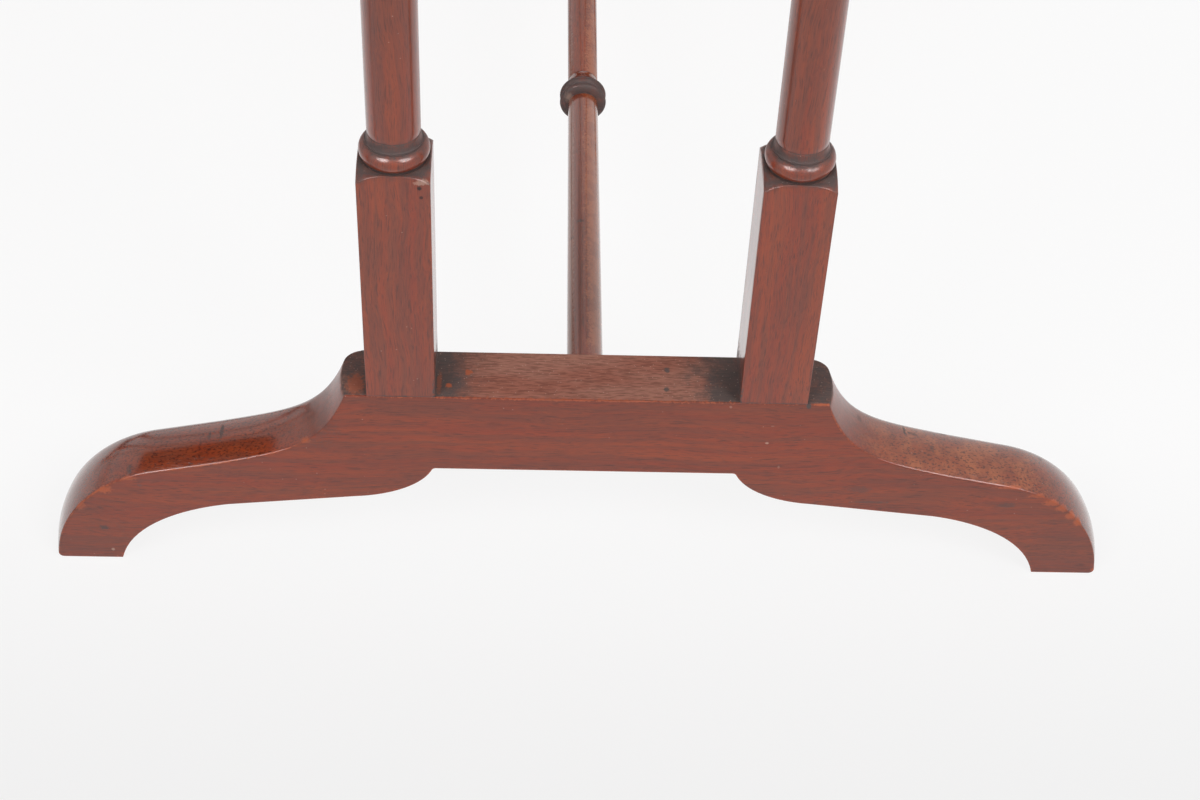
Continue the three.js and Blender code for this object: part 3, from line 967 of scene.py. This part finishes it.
def build_figure():
    """Mahogany's ribbons, fibres, dark streaks and open pores, with the grain along X."""
    tree, given, wanted = new_group(
        "Figure",
        {
            "Vector": "vector", "Red": "colour", "Light": "colour", "Smoke": "colour", "Dark": "colour",
            "Ribbon": "value", "Pores": "value",
        },
        {"Colour": "colour", "Height": "value", "Dullness": "value"},
    )
    wander = noise(tree, given["Vector"], (0.022, 0.05, 0.05), 2, "Color")
    wander = vector_maths(tree, "SUBTRACT", wander, 0.5)
    wander = vector_maths(tree, "MULTIPLY", wander, (0, 7, 7))
    bent = vector_maths(tree, "ADD", given["Vector"], wander)
    broad = patches(tree, bent, (0.006, 0.16, 0.16), 3, 0.36, 0.66)
    ribbon = product(tree, patches(tree, bent, (0.014, 0.55, 0.55), 2, 0.38, 0.64), given["Ribbon"])
    mottle = patches(tree, given["Vector"], (0.018, 0.05, 0.05), 4, 0.62, 0.34)
    fibre = patches(tree, bent, (0.07, 3.2, 3.2), 3, 0.42, 0.72)
    streak = patches(tree, bent, (0.16, 3.0, 3.0), 2, 0.53, 0.7)
    pores = product(tree, flecks(tree, bent, (0.24, 3.4, 3.4), 0.34, 0.14), given["Pores"])
    shade = painted(tree, given["Red"], given["Light"], broad, given["Ribbon"])
    for tone, *masks in (
        ("Smoke", ribbon, 0.95), ("Smoke", mottle, 0.4), ("Light", fibre, 0.35), ("Dark", streak, 0.58),
        ("Dark", pores),
    ):
        shade = painted(tree, shade, given[tone], *masks)
    low = maths(tree, "ADD", product(tree, pores, 0.8), product(tree, streak, 0.12))
    feed(tree, wanted["Colour"], shade)
    feed(tree, wanted["Height"], maths(tree, "SUBTRACT", 1, low))
    feed(tree, wanted["Dullness"], maths(tree, "ADD", product(tree, mottle, 0.6), low))


def build_worn_arris():
    """Where an arris is rubbed to bare wood, as a fine broken line."""
    tree, given, wanted = new_group(
        "Worn arris", {"Vector": "vector", "Rim": "value", "Amount": "value"}, {"Mask": "value"},
    )
    fine = product(tree, noise(tree, given["Vector"], 1.1, 4), 0.9)
    reach = maths(tree, "MULTIPLY_ADD", noise(tree, given["Vector"], 0.06, 3), 1.1, fine)
    worn = product(tree, given["Rim"], reach, given["Amount"])
    feed(tree, wanted["Mask"], step_between(tree, worn, 0.86, 1.12))


def build_uneven_amount():
    """An uneven mask from a smooth amount, for dust and for soiling with painted shade."""
    tree, given, wanted = new_group("Uneven amount", {"Vector": "vector", "Amount": "value"}, {"Mask": "value"})
    fine = product(tree, noise(tree, given["Vector"], 1.9, 3), 0.5)
    uneven = maths(tree, "MULTIPLY_ADD", noise(tree, given["Vector"], 0.28, 4), 0.9, fine)
    uneven = maths(tree, "SUBTRACT", uneven, 0.7)
    feed(tree, wanted["Mask"], step_between(tree, maths(tree, "ADD", given["Amount"], uneven), 0.2, 0.85))


def build_handling():
    """Marks of use: tiny pale specks, short scratches and shallow dents."""
    tree, given, wanted = new_group(
        "Handling", {"Vector": "vector", "Amount": "value"},
        {"Specks": "value", "Scratches": "value", "Height": "value"},
    )
    where = patches(tree, given["Vector"], 0.05, 2, 0.45, 0.6)
    speck = flecks(tree, given["Vector"], 0.3, 0.07, 0.04)
    scratch = patches(tree, given["Vector"], (0.05, 3.1, 2.2), 1, 0.71, 0.76)
    dent = patches(tree, given["Vector"], (0.12, 0.2, 0.2), 3, 0.62, 0.75)
    feed(tree, wanted["Specks"], product(tree, speck, where, given["Amount"]))
    feed(tree, wanted["Scratches"], product(tree, scratch, given["Amount"]))
    low = maths(tree, "MULTIPLY_ADD", scratch, 0.4, dent)
    feed(tree, wanted["Height"], maths(tree, "SUBTRACT", 1, low))


def build_spot():
    """One spot at a named place, round or ragged."""
    tree, given, wanted = new_group(
        "Spot", {"Vector": "vector", "Centre": "vector", "Size": "vector", "Ragged": "value"},
        {"Mask": "value"},
    )
    offset = vector_maths(tree, "SUBTRACT", given["Vector"], given["Centre"])
    offset = vector_maths(tree, "DIVIDE", offset, given["Size"])
    uneven = maths(tree, "SUBTRACT", noise(tree, given["Vector"], 1.2, 4), 0.5)
    reach = vector_maths(tree, "LENGTH", offset, output="Value")
    reach = maths(tree, "MULTIPLY_ADD", uneven, given["Ragged"], reach)
    feed(tree, wanted["Mask"], step_between(tree, reach, 1.1, 0.5))


# Marks at their places on the smallest table's near end, in millimetres: centre, half size and strength

FOOT_CHIPS = (
    ((-162.6, -189.3, 51.6), (1.2, 2.2, 1.3), 0.6),
    ((-163.0, -138.0, 34.6), (0.8, 3.2, 0.9), 0.5),
    ((-163.0, -130.6, 29.8), (0.8, 2.8, 1.8), 0.7),
    ((-163.0, -123.1, 22.8), (0.8, 1.6, 2.4), 0.5),
    ((-162.8, -394.0, 37.2), (1.0, 6.5, 0.7), 0.6),
    ((-162.9, -402.0, 33.9), (1.0, 4.0, 0.9), 0.5),
    ((-162.8, -406.4, 31.0), (1.2, 3.4, 1.5), 0.6),
    ((-162.7, -409.6, 28.6), (1.2, 2.4, 1.7), 0.6),
    ((-162.6, -412.8, 25.6), (1.4, 2.2, 1.9), 0.8),
    ((-162.6, -415.2, 22.8), (1.4, 1.5, 2.4), 0.9),
    ((-163.0, -424.3, 1.6), (1.4, 1.4, 1.8), 0.8),
    ((-152.7, -235.6, 69.8), (1.3, 1.3, 1.0), 0.9),
    ((-158.1, -230.2, 69.8), (1.0, 1.0, 1.0), 0.9),
    ((-158.4, -204.2, 69.8), (5.0, 3.0, 1.0), 0.5),
    ((-157.0, -227.6, 69.8), (5.0, 0.8, 1.0), 0.4),
    ((-163.0, -334.4, 69.7), (0.7, 3.4, 0.5), 0.7),
)
RAIL_RUBBING = (
    ((-163.0, -268.0, 69.7), (0.6, 48.0, 0.4), 0.45),
)
FOOT_DARK_SPOTS_AND_SHADE = (
    ((-163.0, -128.8, 13.4), (1.0, 1.4, 1.3), 0.7),
    ((-163.0, -141.1, 31.8), (1.0, 0.9, 0.8), 0.4),
    ((-163.0, -330.7, 69.2), (1.4, 0.9, 1.1), 0.9),
    ((-163.0, -393.1, 29.6), (0.8, 3.2, 1.2), 0.4),
    ((-163.0, -348.7, 35.4), (0.8, 4.4, 1.4), 0.4),
    ((-163.0, -352.6, 30.0), (0.8, 7.0, 0.6), 0.5),
    ((-150.4, -291.4, 69.8), (1.1, 0.8, 0.8), 0.8),
    ((-158.0, -291.1, 69.8), (1.1, 0.8, 0.8), 0.8),
    ((-152.2, -164.5, 43.9), (4.0, 0.7, 1.8), 0.75),
    ((-153.4, -161.1, 43.0), (2.2, 0.5, 1.2), 0.5),
    ((-160.9, -138.1, 35.8), (1.6, 0.9, 1.4), 0.6),
    ((-149.6, -361.9, 47.0), (3.2, 0.5, 1.8), 0.7),
    ((-155.2, -369.6, 44.8), (1.4, 0.8, 1.2), 0.5),
    ((-150.4, -364.6, 46.4), (0.9, 2.2, 1.2), 0.5),
    ((-148.7, -404.1, 35.0), (1.0, 1.2, 1.4), 0.5),
    ((-152.2, -347.8, 54.2), (1.6, 1.2, 1.8), 0.4),
    ((-146.8, -374.2, 42.7), (1.0, 1.8, 1.0), 0.5),
    # The last three are painted shade: in the left scoop, and on the ends of the toes
    ((-156.0, -193.5, 56.0), (11.0, 7.0, 9.0), 0.25),
    ((-163.0, -122.0, 12.0), (4.0, 15.0, 17.0), 0.13),
    ((-163.0, -416.0, 12.0), (4.0, 15.0, 17.0), 0.13),
)
FOOT_PALE_SPOTS = (
    ((-163.0, -130.3, 3.6), (0.7, 0.6, 0.6), 0.4),
    ((-163.0, -309.0, 68.2), (0.7, 0.5, 0.5), 0.25),
    ((-163.0, -320.4, 54.0), (0.7, 0.6, 0.5), 0.45),
    ((-163.0, -324.6, 44.2), (0.7, 0.4, 0.7), 0.15),
    ((-163.0, -321.4, 60.9), (0.7, 0.7, 0.3), 0.15),
)
FOOT_FADED = (
    ((-154.0, -374.0, 43.0), (20.0, 40.0, 20.0), 0.65),
)
BLOCK_HOLES = (
    ((-163.0, -223.8, 144.6), (1.0, 0.75, 0.75), 0.9),
    ((-163.0, -224.2, 141.6), (1.0, 0.65, 0.65), 0.8),
)
# Painted shade, with soiling, at the foot of each block's inner face where it meets the rail
BLOCK_DIRT_AND_SHADE = (
    ((-154.0, -311.4, 70.0), (14.0, 1.0, 9.0), 0.85),
    ((-154.0, -226.6, 70.0), (14.0, 1.0, 9.0), 0.85),
)
BLOCK_PALE_SPOTS = (
    ((-163.0, -224.5, 146.4), (1.4, 2.2, 0.9), 0.35),
)
# Painted light: the stretchers' side toward the front lamp, lighter and more orange
ROD_LIT_SIDE = (
    ((-60.0, -272.8, 53.0), (140.0, 4.4, 5.6), 1.4),
)
# A painted dark reflection along the top of the stretchers
ROD_DARK_REFLECTION = (
    ((-95.0, -267.5, 54.7), (80.0, 0.7, 1.3), 0.6),
)
# A painted sheen: the pale reflection of a bright wall along the stretchers' other side
ROD_SHEEN = (
    ((-70.0, -264.4, 52.8), (130.0, 2.0, 2.6), 0.28),
)
ROD_DARK_SPOTS = (
    ((-68.9, -267.8, 54.8), (0.9, 1.6, 1.0), 0.6),
    ((-75.4, -265.4, 53.4), (0.9, 0.9, 0.9), 0.5),
)

# The colour, raggedness and places of each kind of mark
FOOT_MARKS = (
    ("worn", 1.4, FOOT_CHIPS),
    ("worn", 5.0, RAIL_RUBBING),
    ("grime", 1.6, FOOT_DARK_SPOTS_AND_SHADE),
    ("pale", 0.8, FOOT_PALE_SPOTS),
)
COLUMN_MARKS = (("hole", 0.4, BLOCK_HOLES), ("pale", 1.6, BLOCK_PALE_SPOTS), ("grime", 1.8, BLOCK_DIRT_AND_SHADE))
ROD_MARKS = (("pale", 0.8, ROD_SHEEN), ("smoke", 0.8, ROD_DARK_REFLECTION), ("grime", 1.6, ROD_DARK_SPOTS))


# Materials

ALONG_X = (0, 0, 0)
ALONG_Y = (0, 0, -math.pi / 2)
ALONG_Z = (0, math.pi / 2, 0)


def new_material(name):
    """An empty node material. Returns it with its node tree, its shader and its place in millimetres."""
    material = bpy.data.materials.new(name)
    material.use_nodes = True
    tree = material.node_tree
    tree.nodes.clear()
    shader = add_node(tree, "ShaderNodeBsdfPrincipled")
    output = add_node(tree, "ShaderNodeOutputMaterial")
    tree.links.new(shader.outputs["BSDF"], output.inputs["Surface"])
    coordinates = add_node(tree, "ShaderNodeTexCoord")
    return material, tree, shader, vector_maths(tree, "MULTIPLY", coordinates.outputs["Object"], 1 / MM)


def attribute(tree, name):
    """A value that the mesh carries at its vertices."""
    return add_node(tree, "ShaderNodeAttribute", attribute_name=name).outputs["Fac"]


def turned_along(tree, place, turn, scale=1.0):
    """The place turned so that the grain runs along X."""
    node = add_node(tree, "ShaderNodeMapping")
    feed(tree, node.inputs["Vector"], place)
    node.inputs["Rotation"].default_value = turn
    node.inputs["Scale"].default_value = (scale, scale, scale)
    return node.outputs["Vector"]


def add_relief(tree, shader, height, strength, depth):
    """Feeds a bump of a height to a shader's normal."""
    bump = add_node(tree, "ShaderNodeBump")
    bump.inputs["Strength"].default_value = strength
    bump.inputs["Distance"].default_value = depth
    feed(tree, bump.inputs["Height"], height)
    feed(tree, shader.inputs["Normal"], bump.outputs["Normal"])


def figured(tree, grain, colours, ground, ribbon, pores):
    """The wood's figure on a ground colour. Returns the colour, the height and the dullness."""
    return use_group(
        tree, "Figure", Vector=grain, Red=ground, Light=colours.light, Smoke=colours.smoke,
        Dark=colours.dark, Ribbon=ribbon, Pores=pores,
    )


def uneven_amount(tree, place, name):
    """The uneven mask of a value that a piece carries, such as its dust and its soiling with painted shade.
    """
    return use_group(tree, "Uneven amount", Vector=place, Amount=attribute(tree, name))["Mask"]


def worn_arrises(tree, place, wear):
    """The mask of the worn arrises."""
    return use_group(tree, "Worn arris", Vector=place, Rim=attribute(tree, "rim"), Amount=wear)["Mask"]


def spots(tree, place, listed, ragged):
    """One mask for a list of spots."""
    mask = 0.0
    for centre, size, strength in listed:
        spot = use_group(tree, "Spot", Vector=place, Centre=centre, Size=size, Ragged=ragged)["Mask"]
        mask = maths(tree, "MAXIMUM", product(tree, spot, strength), mask)
    return mask


def dusty_wood(tree, grain, colours):
    """Dull wood with a visible grain, redder in places."""
    redder = patches(tree, grain, (0.03, 0.12, 0.12), 3, 0.4, 0.62)
    grit = patches(tree, grain, (0.35, 3.2, 3.2), 4, 0.42, 0.62)
    dusty = painted(tree, colours.brown, colours.red, redder, 0.35)
    return painted(tree, dusty, colours.dark, grit, 0.5)


def rubbed_and_lit_wood(tree, grain, place, shade, rubbed, colours, speckle, worst):
    """Mottled, speckled polish where a piece has been rubbed, and most of all at some places. On the
    stretchers the strongest place is painted light on their lit side.
    """
    patchy = maths(tree, "MULTIPLY_ADD", patches(tree, place, 0.2, 4, 0.4, 0.64), 0.8, 0.4)
    speckled = patches(tree, grain, (1.1, 2.0, 2.0), 3, 0.52, 0.64)
    faded = maths(tree, "ADD", spots(tree, place, worst, 1.4), 0.1)
    shade = painted(tree, shade, colours.faded, patchy, faded, rubbed)
    return painted(tree, shade, colours.dark, speckled, speckle, rubbed)


def polished_wood(
    name, colours, turn, scale=1.0, ribbon=0.6, wear=1.0, coat=0.75, specular=0.3, speckle=0.55, faded=(),
    marks=(),
):
    """Polished mahogany with its grain along one axis, worn arrises, dust, and soiling with painted shade in
    corners and hollows.
    """
    material, tree, shader, place = new_material(name)
    grain = turned_along(tree, place, turn, scale)
    figure = figured(tree, grain, colours, colours.red, ribbon, 0.4)
    handling = use_group(tree, "Handling", Vector=grain, Amount=0.5)
    worn = worn_arrises(tree, place, wear)
    dust = uneven_amount(tree, place, "dust")
    dirt_and_shade = uneven_amount(tree, place, "grime")
    rubbed = attribute(tree, "rubbed")
    shade = rubbed_and_lit_wood(tree, grain, place, figure["Colour"], rubbed, colours, speckle, faded)
    shade = painted(tree, shade, dusty_wood(tree, grain, colours), dust, 0.9)
    shade = painted(tree, shade, colours.worn, worn, 0.7)
    # Soiling and painted shade in corners and hollows
    shade = painted(tree, shade, colours.grime, dirt_and_shade, 0.85)
    shade = painted(tree, shade, colours.dark, handling["Scratches"], 0.5)
    grains = product(tree, flecks(tree, place, 0.8, 0.16, 0.08), dust, 0.4)
    shade = painted(tree, shade, colours.pale, maths(tree, "MULTIPLY_ADD", handling["Specks"], 0.5, grains))
    dulled = maths(tree, "MAXIMUM", dust, dirt_and_shade)
    for mark, ragged, listed in marks:
        mask = spots(tree, place, listed, ragged)
        shade = painted(tree, shade, getattr(colours, mark), mask)
        dulled = maths(tree, "MAXIMUM", dulled, mask)
    feed(tree, shader.inputs["Base Color"], shade)
    dull = maths(tree, "MULTIPLY_ADD", figure["Dullness"], 0.14, 0.28)
    dull = maths(tree, "MULTIPLY_ADD", dulled, 0.35, dull)
    dull = maths(tree, "MULTIPLY_ADD", rubbed, -0.14, dull)
    feed(tree, shader.inputs["Roughness"], maths(tree, "MULTIPLY_ADD", worn, 0.25, dull, clamp=True))
    shine = maths(tree, "MULTIPLY_ADD", rubbed, 0.35, coat)
    shine = product(tree, shine, maths(tree, "MULTIPLY_ADD", worn, -0.7, 1))
    shine = maths(tree, "MULTIPLY", maths(tree, "SUBTRACT", 1, dulled), shine, clamp=True)
    feed(tree, shader.inputs["Coat Weight"], shine)
    shader.inputs["Coat Roughness"].default_value = 0.15
    shader.inputs["Specular IOR Level"].default_value = specular
    height = maths(tree, "MULTIPLY_ADD", handling["Height"], 0.5, figure["Height"])
    add_relief(tree, shader, maths(tree, "MULTIPLY_ADD", worn, -0.6, height), 0.25, 0.2 * MM)
    return material


def plain_wood(name, colours):
    """The thinly polished, dull mahogany of the bearers."""
    material, tree, shader, place = new_material(name)
    grain = turned_along(tree, place, ALONG_Y)
    figure = figured(tree, grain, colours, colours.plain, 0.25, 0.7)
    handling = use_group(tree, "Handling", Vector=grain, Amount=1.0)
    shade = painted(tree, figure["Colour"], colours.worn, worn_arrises(tree, place, 0.9), 0.5)
    shade = painted(tree, shade, colours.grime, uneven_amount(tree, place, "grime"), 0.5)
    shade = painted(tree, shade, colours.dark, handling["Scratches"], 0.6)
    feed(tree, shader.inputs["Base Color"], shade)
    dull = maths(tree, "MULTIPLY_ADD", figure["Dullness"], 0.15, 0.6, clamp=True)
    feed(tree, shader.inputs["Roughness"], dull)
    add_relief(tree, shader, maths(tree, "ADD", figure["Height"], handling["Height"]), 0.5, 0.3 * MM)
    return material


def screw_steel(name, colours):
    """Dull, stained steel."""
    material, tree, shader, place = new_material(name)
    stain = patches(tree, place, 0.9, 4, 0.45, 0.68)
    feed(tree, shader.inputs["Base Color"], painted(tree, colours.steel, colours.stain, stain, 0.7))
    feed(tree, shader.inputs["Roughness"], maths(tree, "MULTIPLY_ADD", stain, 0.3, 0.38, clamp=True))
    shader.inputs["Metallic"].default_value = 1
    add_relief(tree, shader, noise(tree, place, (0.6, 9.0, 9.0)), 0.3, 0.1 * MM)
    return material


def shown_directly(tree):
    """One where the camera, a reflection or a glass looks, and nought for the light on things."""
    path = add_node(tree, "ShaderNodeLightPath")
    seen = maths(tree, "MAXIMUM", path.outputs["Is Camera Ray"], path.outputs["Is Glossy Ray"])
    return maths(tree, "MAXIMUM", seen, path.outputs["Is Transmission Ray"])


def floor_paint(name, look):
    """A pale painted floor that reads as nearly white and keeps the shadows."""
    material, tree, shader, place = new_material(name)
    output = next(node for node in tree.nodes if node.bl_idname == "ShaderNodeOutputMaterial")
    cloud = product(tree, noise(tree, place, 0.004, 3), 0.05)
    tone = maths(tree, "MULTIPLY_ADD", noise(tree, place, 0.35, 4), 0.06, cloud)
    feed(tree, shader.inputs["Base Color"], painted(tree, look.floor, look.floor_dirt, tone))
    shader.inputs["Roughness"].default_value = 0.7
    split = add_node(tree, "ShaderNodeSeparateXYZ")
    feed(tree, split.inputs["Vector"], place)
    # The camera sees the floor darker towards -X, on its own side: painted shade
    nearness = step_between(tree, split.outputs["X"], -80, -290)
    lift = add_node(tree, "ShaderNodeEmission")
    feed(tree, lift.inputs["Color"], painted(tree, look.far_floor, look.near_floor, nearness))
    blend = add_node(tree, "ShaderNodeMixShader")
    feed(tree, blend.inputs[0], product(tree, shown_directly(tree), look.floor_lift))
    tree.links.new(shader.outputs["BSDF"], blend.inputs[1])
    tree.links.new(lift.outputs["Emission"], blend.inputs[2])
    tree.links.new(blend.outputs["Shader"], output.inputs["Surface"])
    return material


GROUPS = {
    "Figure": build_figure, "Worn arris": build_worn_arris, "Uneven amount": build_uneven_amount,
    "Handling": build_handling, "Spot": build_spot,
}


def kept(name, make, *given, **settings):
    """The material of that name, made the first time it is asked for, as its groups are."""
    for group, build in GROUPS.items():
        if group not in bpy.data.node_groups:
            build()
    return bpy.data.materials.get(name) or make(name, *given, **settings)


# Studio

# Each lamp's name, place and share of the power, and the directions of what reflections see
LAMPS = (("Front lamp", (-1.5, -1.52, 1.85), 1), ("Rear lamp", (-1.5, 0.98, 1.85), 0.8))
LAMP_TARGET = (-0.16, -0.27, 0.08)
CEILING = (-0.1, 0.3, 0.95)
WINDOWS = ((-0.55, -0.5, 0.67), (-0.55, 0.47, 0.69))


def lay_floor(look):
    """The floor, which isn't part of the object."""
    shape = bmesh.new()
    bmesh.ops.create_grid(shape, x_segments=2, y_segments=2, size=6)
    mesh = bpy.data.meshes.new("studio_floor")
    shape.to_mesh(mesh)
    shape.free()
    mesh.materials.append(floor_paint("Floor paint", look))
    floor = bpy.data.objects.new("studio_floor", mesh)
    bpy.context.scene.collection.objects.link(floor)


def hang_lamp(name, place, share, look):
    """One soft square lamp that faces the smallest table's near end."""
    lamp = bpy.data.lights.new(name, "AREA")
    lamp.shape = "SQUARE"
    lamp.size = look.lamp_size
    lamp.energy = look.lamp_power * share
    hung = bpy.data.objects.new(name, lamp)
    hung.location = place
    hung.rotation_euler = (Vector(LAMP_TARGET) - Vector(place)).to_track_quat("-Z", "Y").to_euler()
    bpy.context.scene.collection.objects.link(hung)


def sky_part(tree, direction, middle, stretch, outer, inner):
    """One inside a soft patch of the sky round a direction, and nought outside it or off reflections."""
    offset = vector_maths(tree, "MULTIPLY", vector_maths(tree, "SUBTRACT", direction, middle), stretch)
    reach = vector_maths(tree, "LENGTH", offset, output="Value")
    glossy = add_node(tree, "ShaderNodeLightPath").outputs["Is Glossy Ray"]
    return product(tree, step_between(tree, reach, outer, inner), glossy)


def light_sky(look):
    """Even light from all round. The camera sees it as white, and reflections see a room in it."""
    world = bpy.data.worlds.new("Sky")
    world.use_nodes = True
    tree = world.node_tree
    tree.nodes.clear()
    sky = add_node(tree, "ShaderNodeBackground")
    output = add_node(tree, "ShaderNodeOutputWorld")
    level = maths(tree, "MULTIPLY_ADD", shown_directly(tree), 1 - look.sky, look.sky)
    direction = add_node(tree, "ShaderNodeTexCoord").outputs["Generated"]
    ceiling = sky_part(tree, direction, CEILING, (1, 1, 1), 0.56, 0.38)
    level = product(tree, level, maths(tree, "MULTIPLY_ADD", ceiling, look.overhead - 1, 1))
    for middle in WINDOWS:
        window = sky_part(tree, direction, middle, (1, 1, 0.65), 0.32, 0.22)
        level = maths(tree, "MULTIPLY_ADD", window, look.window, level)
    feed(tree, sky.inputs["Strength"], level)
    feed(tree, sky.inputs["Color"], (1, 1, 1))
    tree.links.new(sky.outputs["Background"], output.inputs["Surface"])
    bpy.context.scene.world = world


def set_camera(look):
    """The camera at the photograph's place."""
    data = bpy.data.cameras.new("Camera")
    data.sensor_fit = "HORIZONTAL"
    data.sensor_width = 36
    data.lens = look.lens
    data.clip_start = 0.01
    data.clip_end = 50
    camera = bpy.data.objects.new("Camera", data)
    camera.location = look.camera_place
    camera.rotation_euler = look.camera_turn
    bpy.context.scene.collection.objects.link(camera)
    bpy.context.scene.camera = camera


# Operators

class NEST_OT_stage(bpy.types.Operator):
    """Sets the floor, the light and the camera"""

    bl_idname = "nest.stage"
    bl_label = "Floor, light and camera"

    def execute(self, context):
        look = context.scene.nest_look
        context.scene.view_settings.view_transform = "Standard"
        set_camera(look)
        lay_floor(look)
        light_sky(look)
        for lamp in LAMPS:
            hang_lamp(*lamp, look)
        return {"FINISHED"}


class NEST_OT_feet(bpy.types.Operator):
    """Makes the six shaped feet"""

    bl_idname = "nest.feet"
    bl_label = "Shaped feet"

    def execute(self, context):
        scene = context.scene
        material = kept(
            "Mahogany of the feet", polished_wood, scene.nest_colours, ALONG_Y,
            wear=0.88, coat=0.45, speckle=0.75, faded=FOOT_FADED, marks=FOOT_MARKS,
        )
        for trestle in TRESTLES:
            make_foot(scene.nest_foot, *trestle, material)
        return {"FINISHED"}


class NEST_OT_columns(bpy.types.Operator):
    """Makes the twelve turned columns"""

    bl_idname = "nest.columns"
    bl_label = "Turned columns"

    def execute(self, context):
        scene = context.scene
        material = kept(
            "Mahogany of the columns", polished_wood, scene.nest_colours, ALONG_Z,
            wear=0.8, marks=COLUMN_MARKS,
        )
        for leg in LEGS:
            make_column(scene.nest_column, *leg, material)
        return {"FINISHED"}


class NEST_OT_stretchers(bpy.types.Operator):
    """Makes the three turned stretchers"""

    bl_idname = "nest.stretchers"
    bl_label = "Turned stretchers"

    def execute(self, context):
        scene = context.scene
        material = kept(
            "Mahogany of the stretchers", polished_wood, scene.nest_colours, ALONG_X,
            coat=0.55, speckle=0.15, faded=ROD_LIT_SIDE, marks=ROD_MARKS,
        )
        for table in TABLES:
            make_stretcher(scene.nest_stretcher, table, scene.nest_column.turned_steps, material)
        return {"FINISHED"}


class NEST_OT_tops(bpy.types.Operator):
    """Makes the three tops"""

    bl_idname = "nest.tops"
    bl_label = "Tops"

    def execute(self, context):
        scene = context.scene
        material = kept(
            "Mahogany of the tops", polished_wood, scene.nest_colours, ALONG_X,
            scale=0.6, ribbon=0.9, coat=0.2, specular=0.12,
        )
        for table in TABLES:
            make_top(scene.nest_top, table, material)
        return {"FINISHED"}


class NEST_OT_bearers(bpy.types.Operator):
    """Makes the six bearers and their twelve screws"""

    bl_idname = "nest.bearers"
    bl_label = "Bearers and screws"

    def execute(self, context):
        scene = context.scene
        wood = kept("Plain mahogany", plain_wood, scene.nest_colours)
        steel = kept("Screw steel", screw_steel, scene.nest_colours)
        for trestle in TRESTLES:
            make_bearer(scene.nest_bearer, *trestle, wood)
            for place in PLACES:
                make_screw(scene.nest_bearer, *trestle, place, steel)
        return {"FINISHED"}


class NEST_PT_pieces(bpy.types.Panel):
    """Lists the pieces of the nest"""

    bl_idname = "NEST_PT_pieces"
    bl_label = "Nest of tables"
    bl_space_type = "VIEW_3D"
    bl_region_type = "UI"
    bl_category = "Nest of tables"

    def draw(self, context):
        for operator in OPERATORS:
            self.layout.operator(operator.bl_idname)


SETTINGS = {
    "nest_foot": FootSizes,
    "nest_column": ColumnSizes,
    "nest_stretcher": StretcherSizes,
    "nest_top": TopSizes,
    "nest_bearer": BearerSizes,
    "nest_colours": WoodColours,
    "nest_look": StudioLook,
}
OPERATORS = (
    NEST_OT_stage, NEST_OT_feet, NEST_OT_columns, NEST_OT_stretchers, NEST_OT_tops, NEST_OT_bearers,
)


def register():
    """Registers the settings, the operators and the panel."""
    for name, group in SETTINGS.items():
        bpy.utils.register_class(group)
        setattr(bpy.types.Scene, name, PointerProperty(type=group))
    for operator in OPERATORS:
        bpy.utils.register_class(operator)
    bpy.utils.register_class(NEST_PT_pieces)


def unregister():
    """Takes them away again."""
    bpy.utils.unregister_class(NEST_PT_pieces)
    for operator in reversed(OPERATORS):
        bpy.utils.unregister_class(operator)
    for name, group in SETTINGS.items():
        delattr(bpy.types.Scene, name)
        bpy.utils.unregister_class(group)


def main():
    """Makes the whole scene."""
    register()
    bpy.ops.nest.stage()
    bpy.ops.nest.feet()
    bpy.ops.nest.columns()
    bpy.ops.nest.stretchers()
    bpy.ops.nest.tops()
    bpy.ops.nest.bearers()


if __name__ == "__main__":
    main()
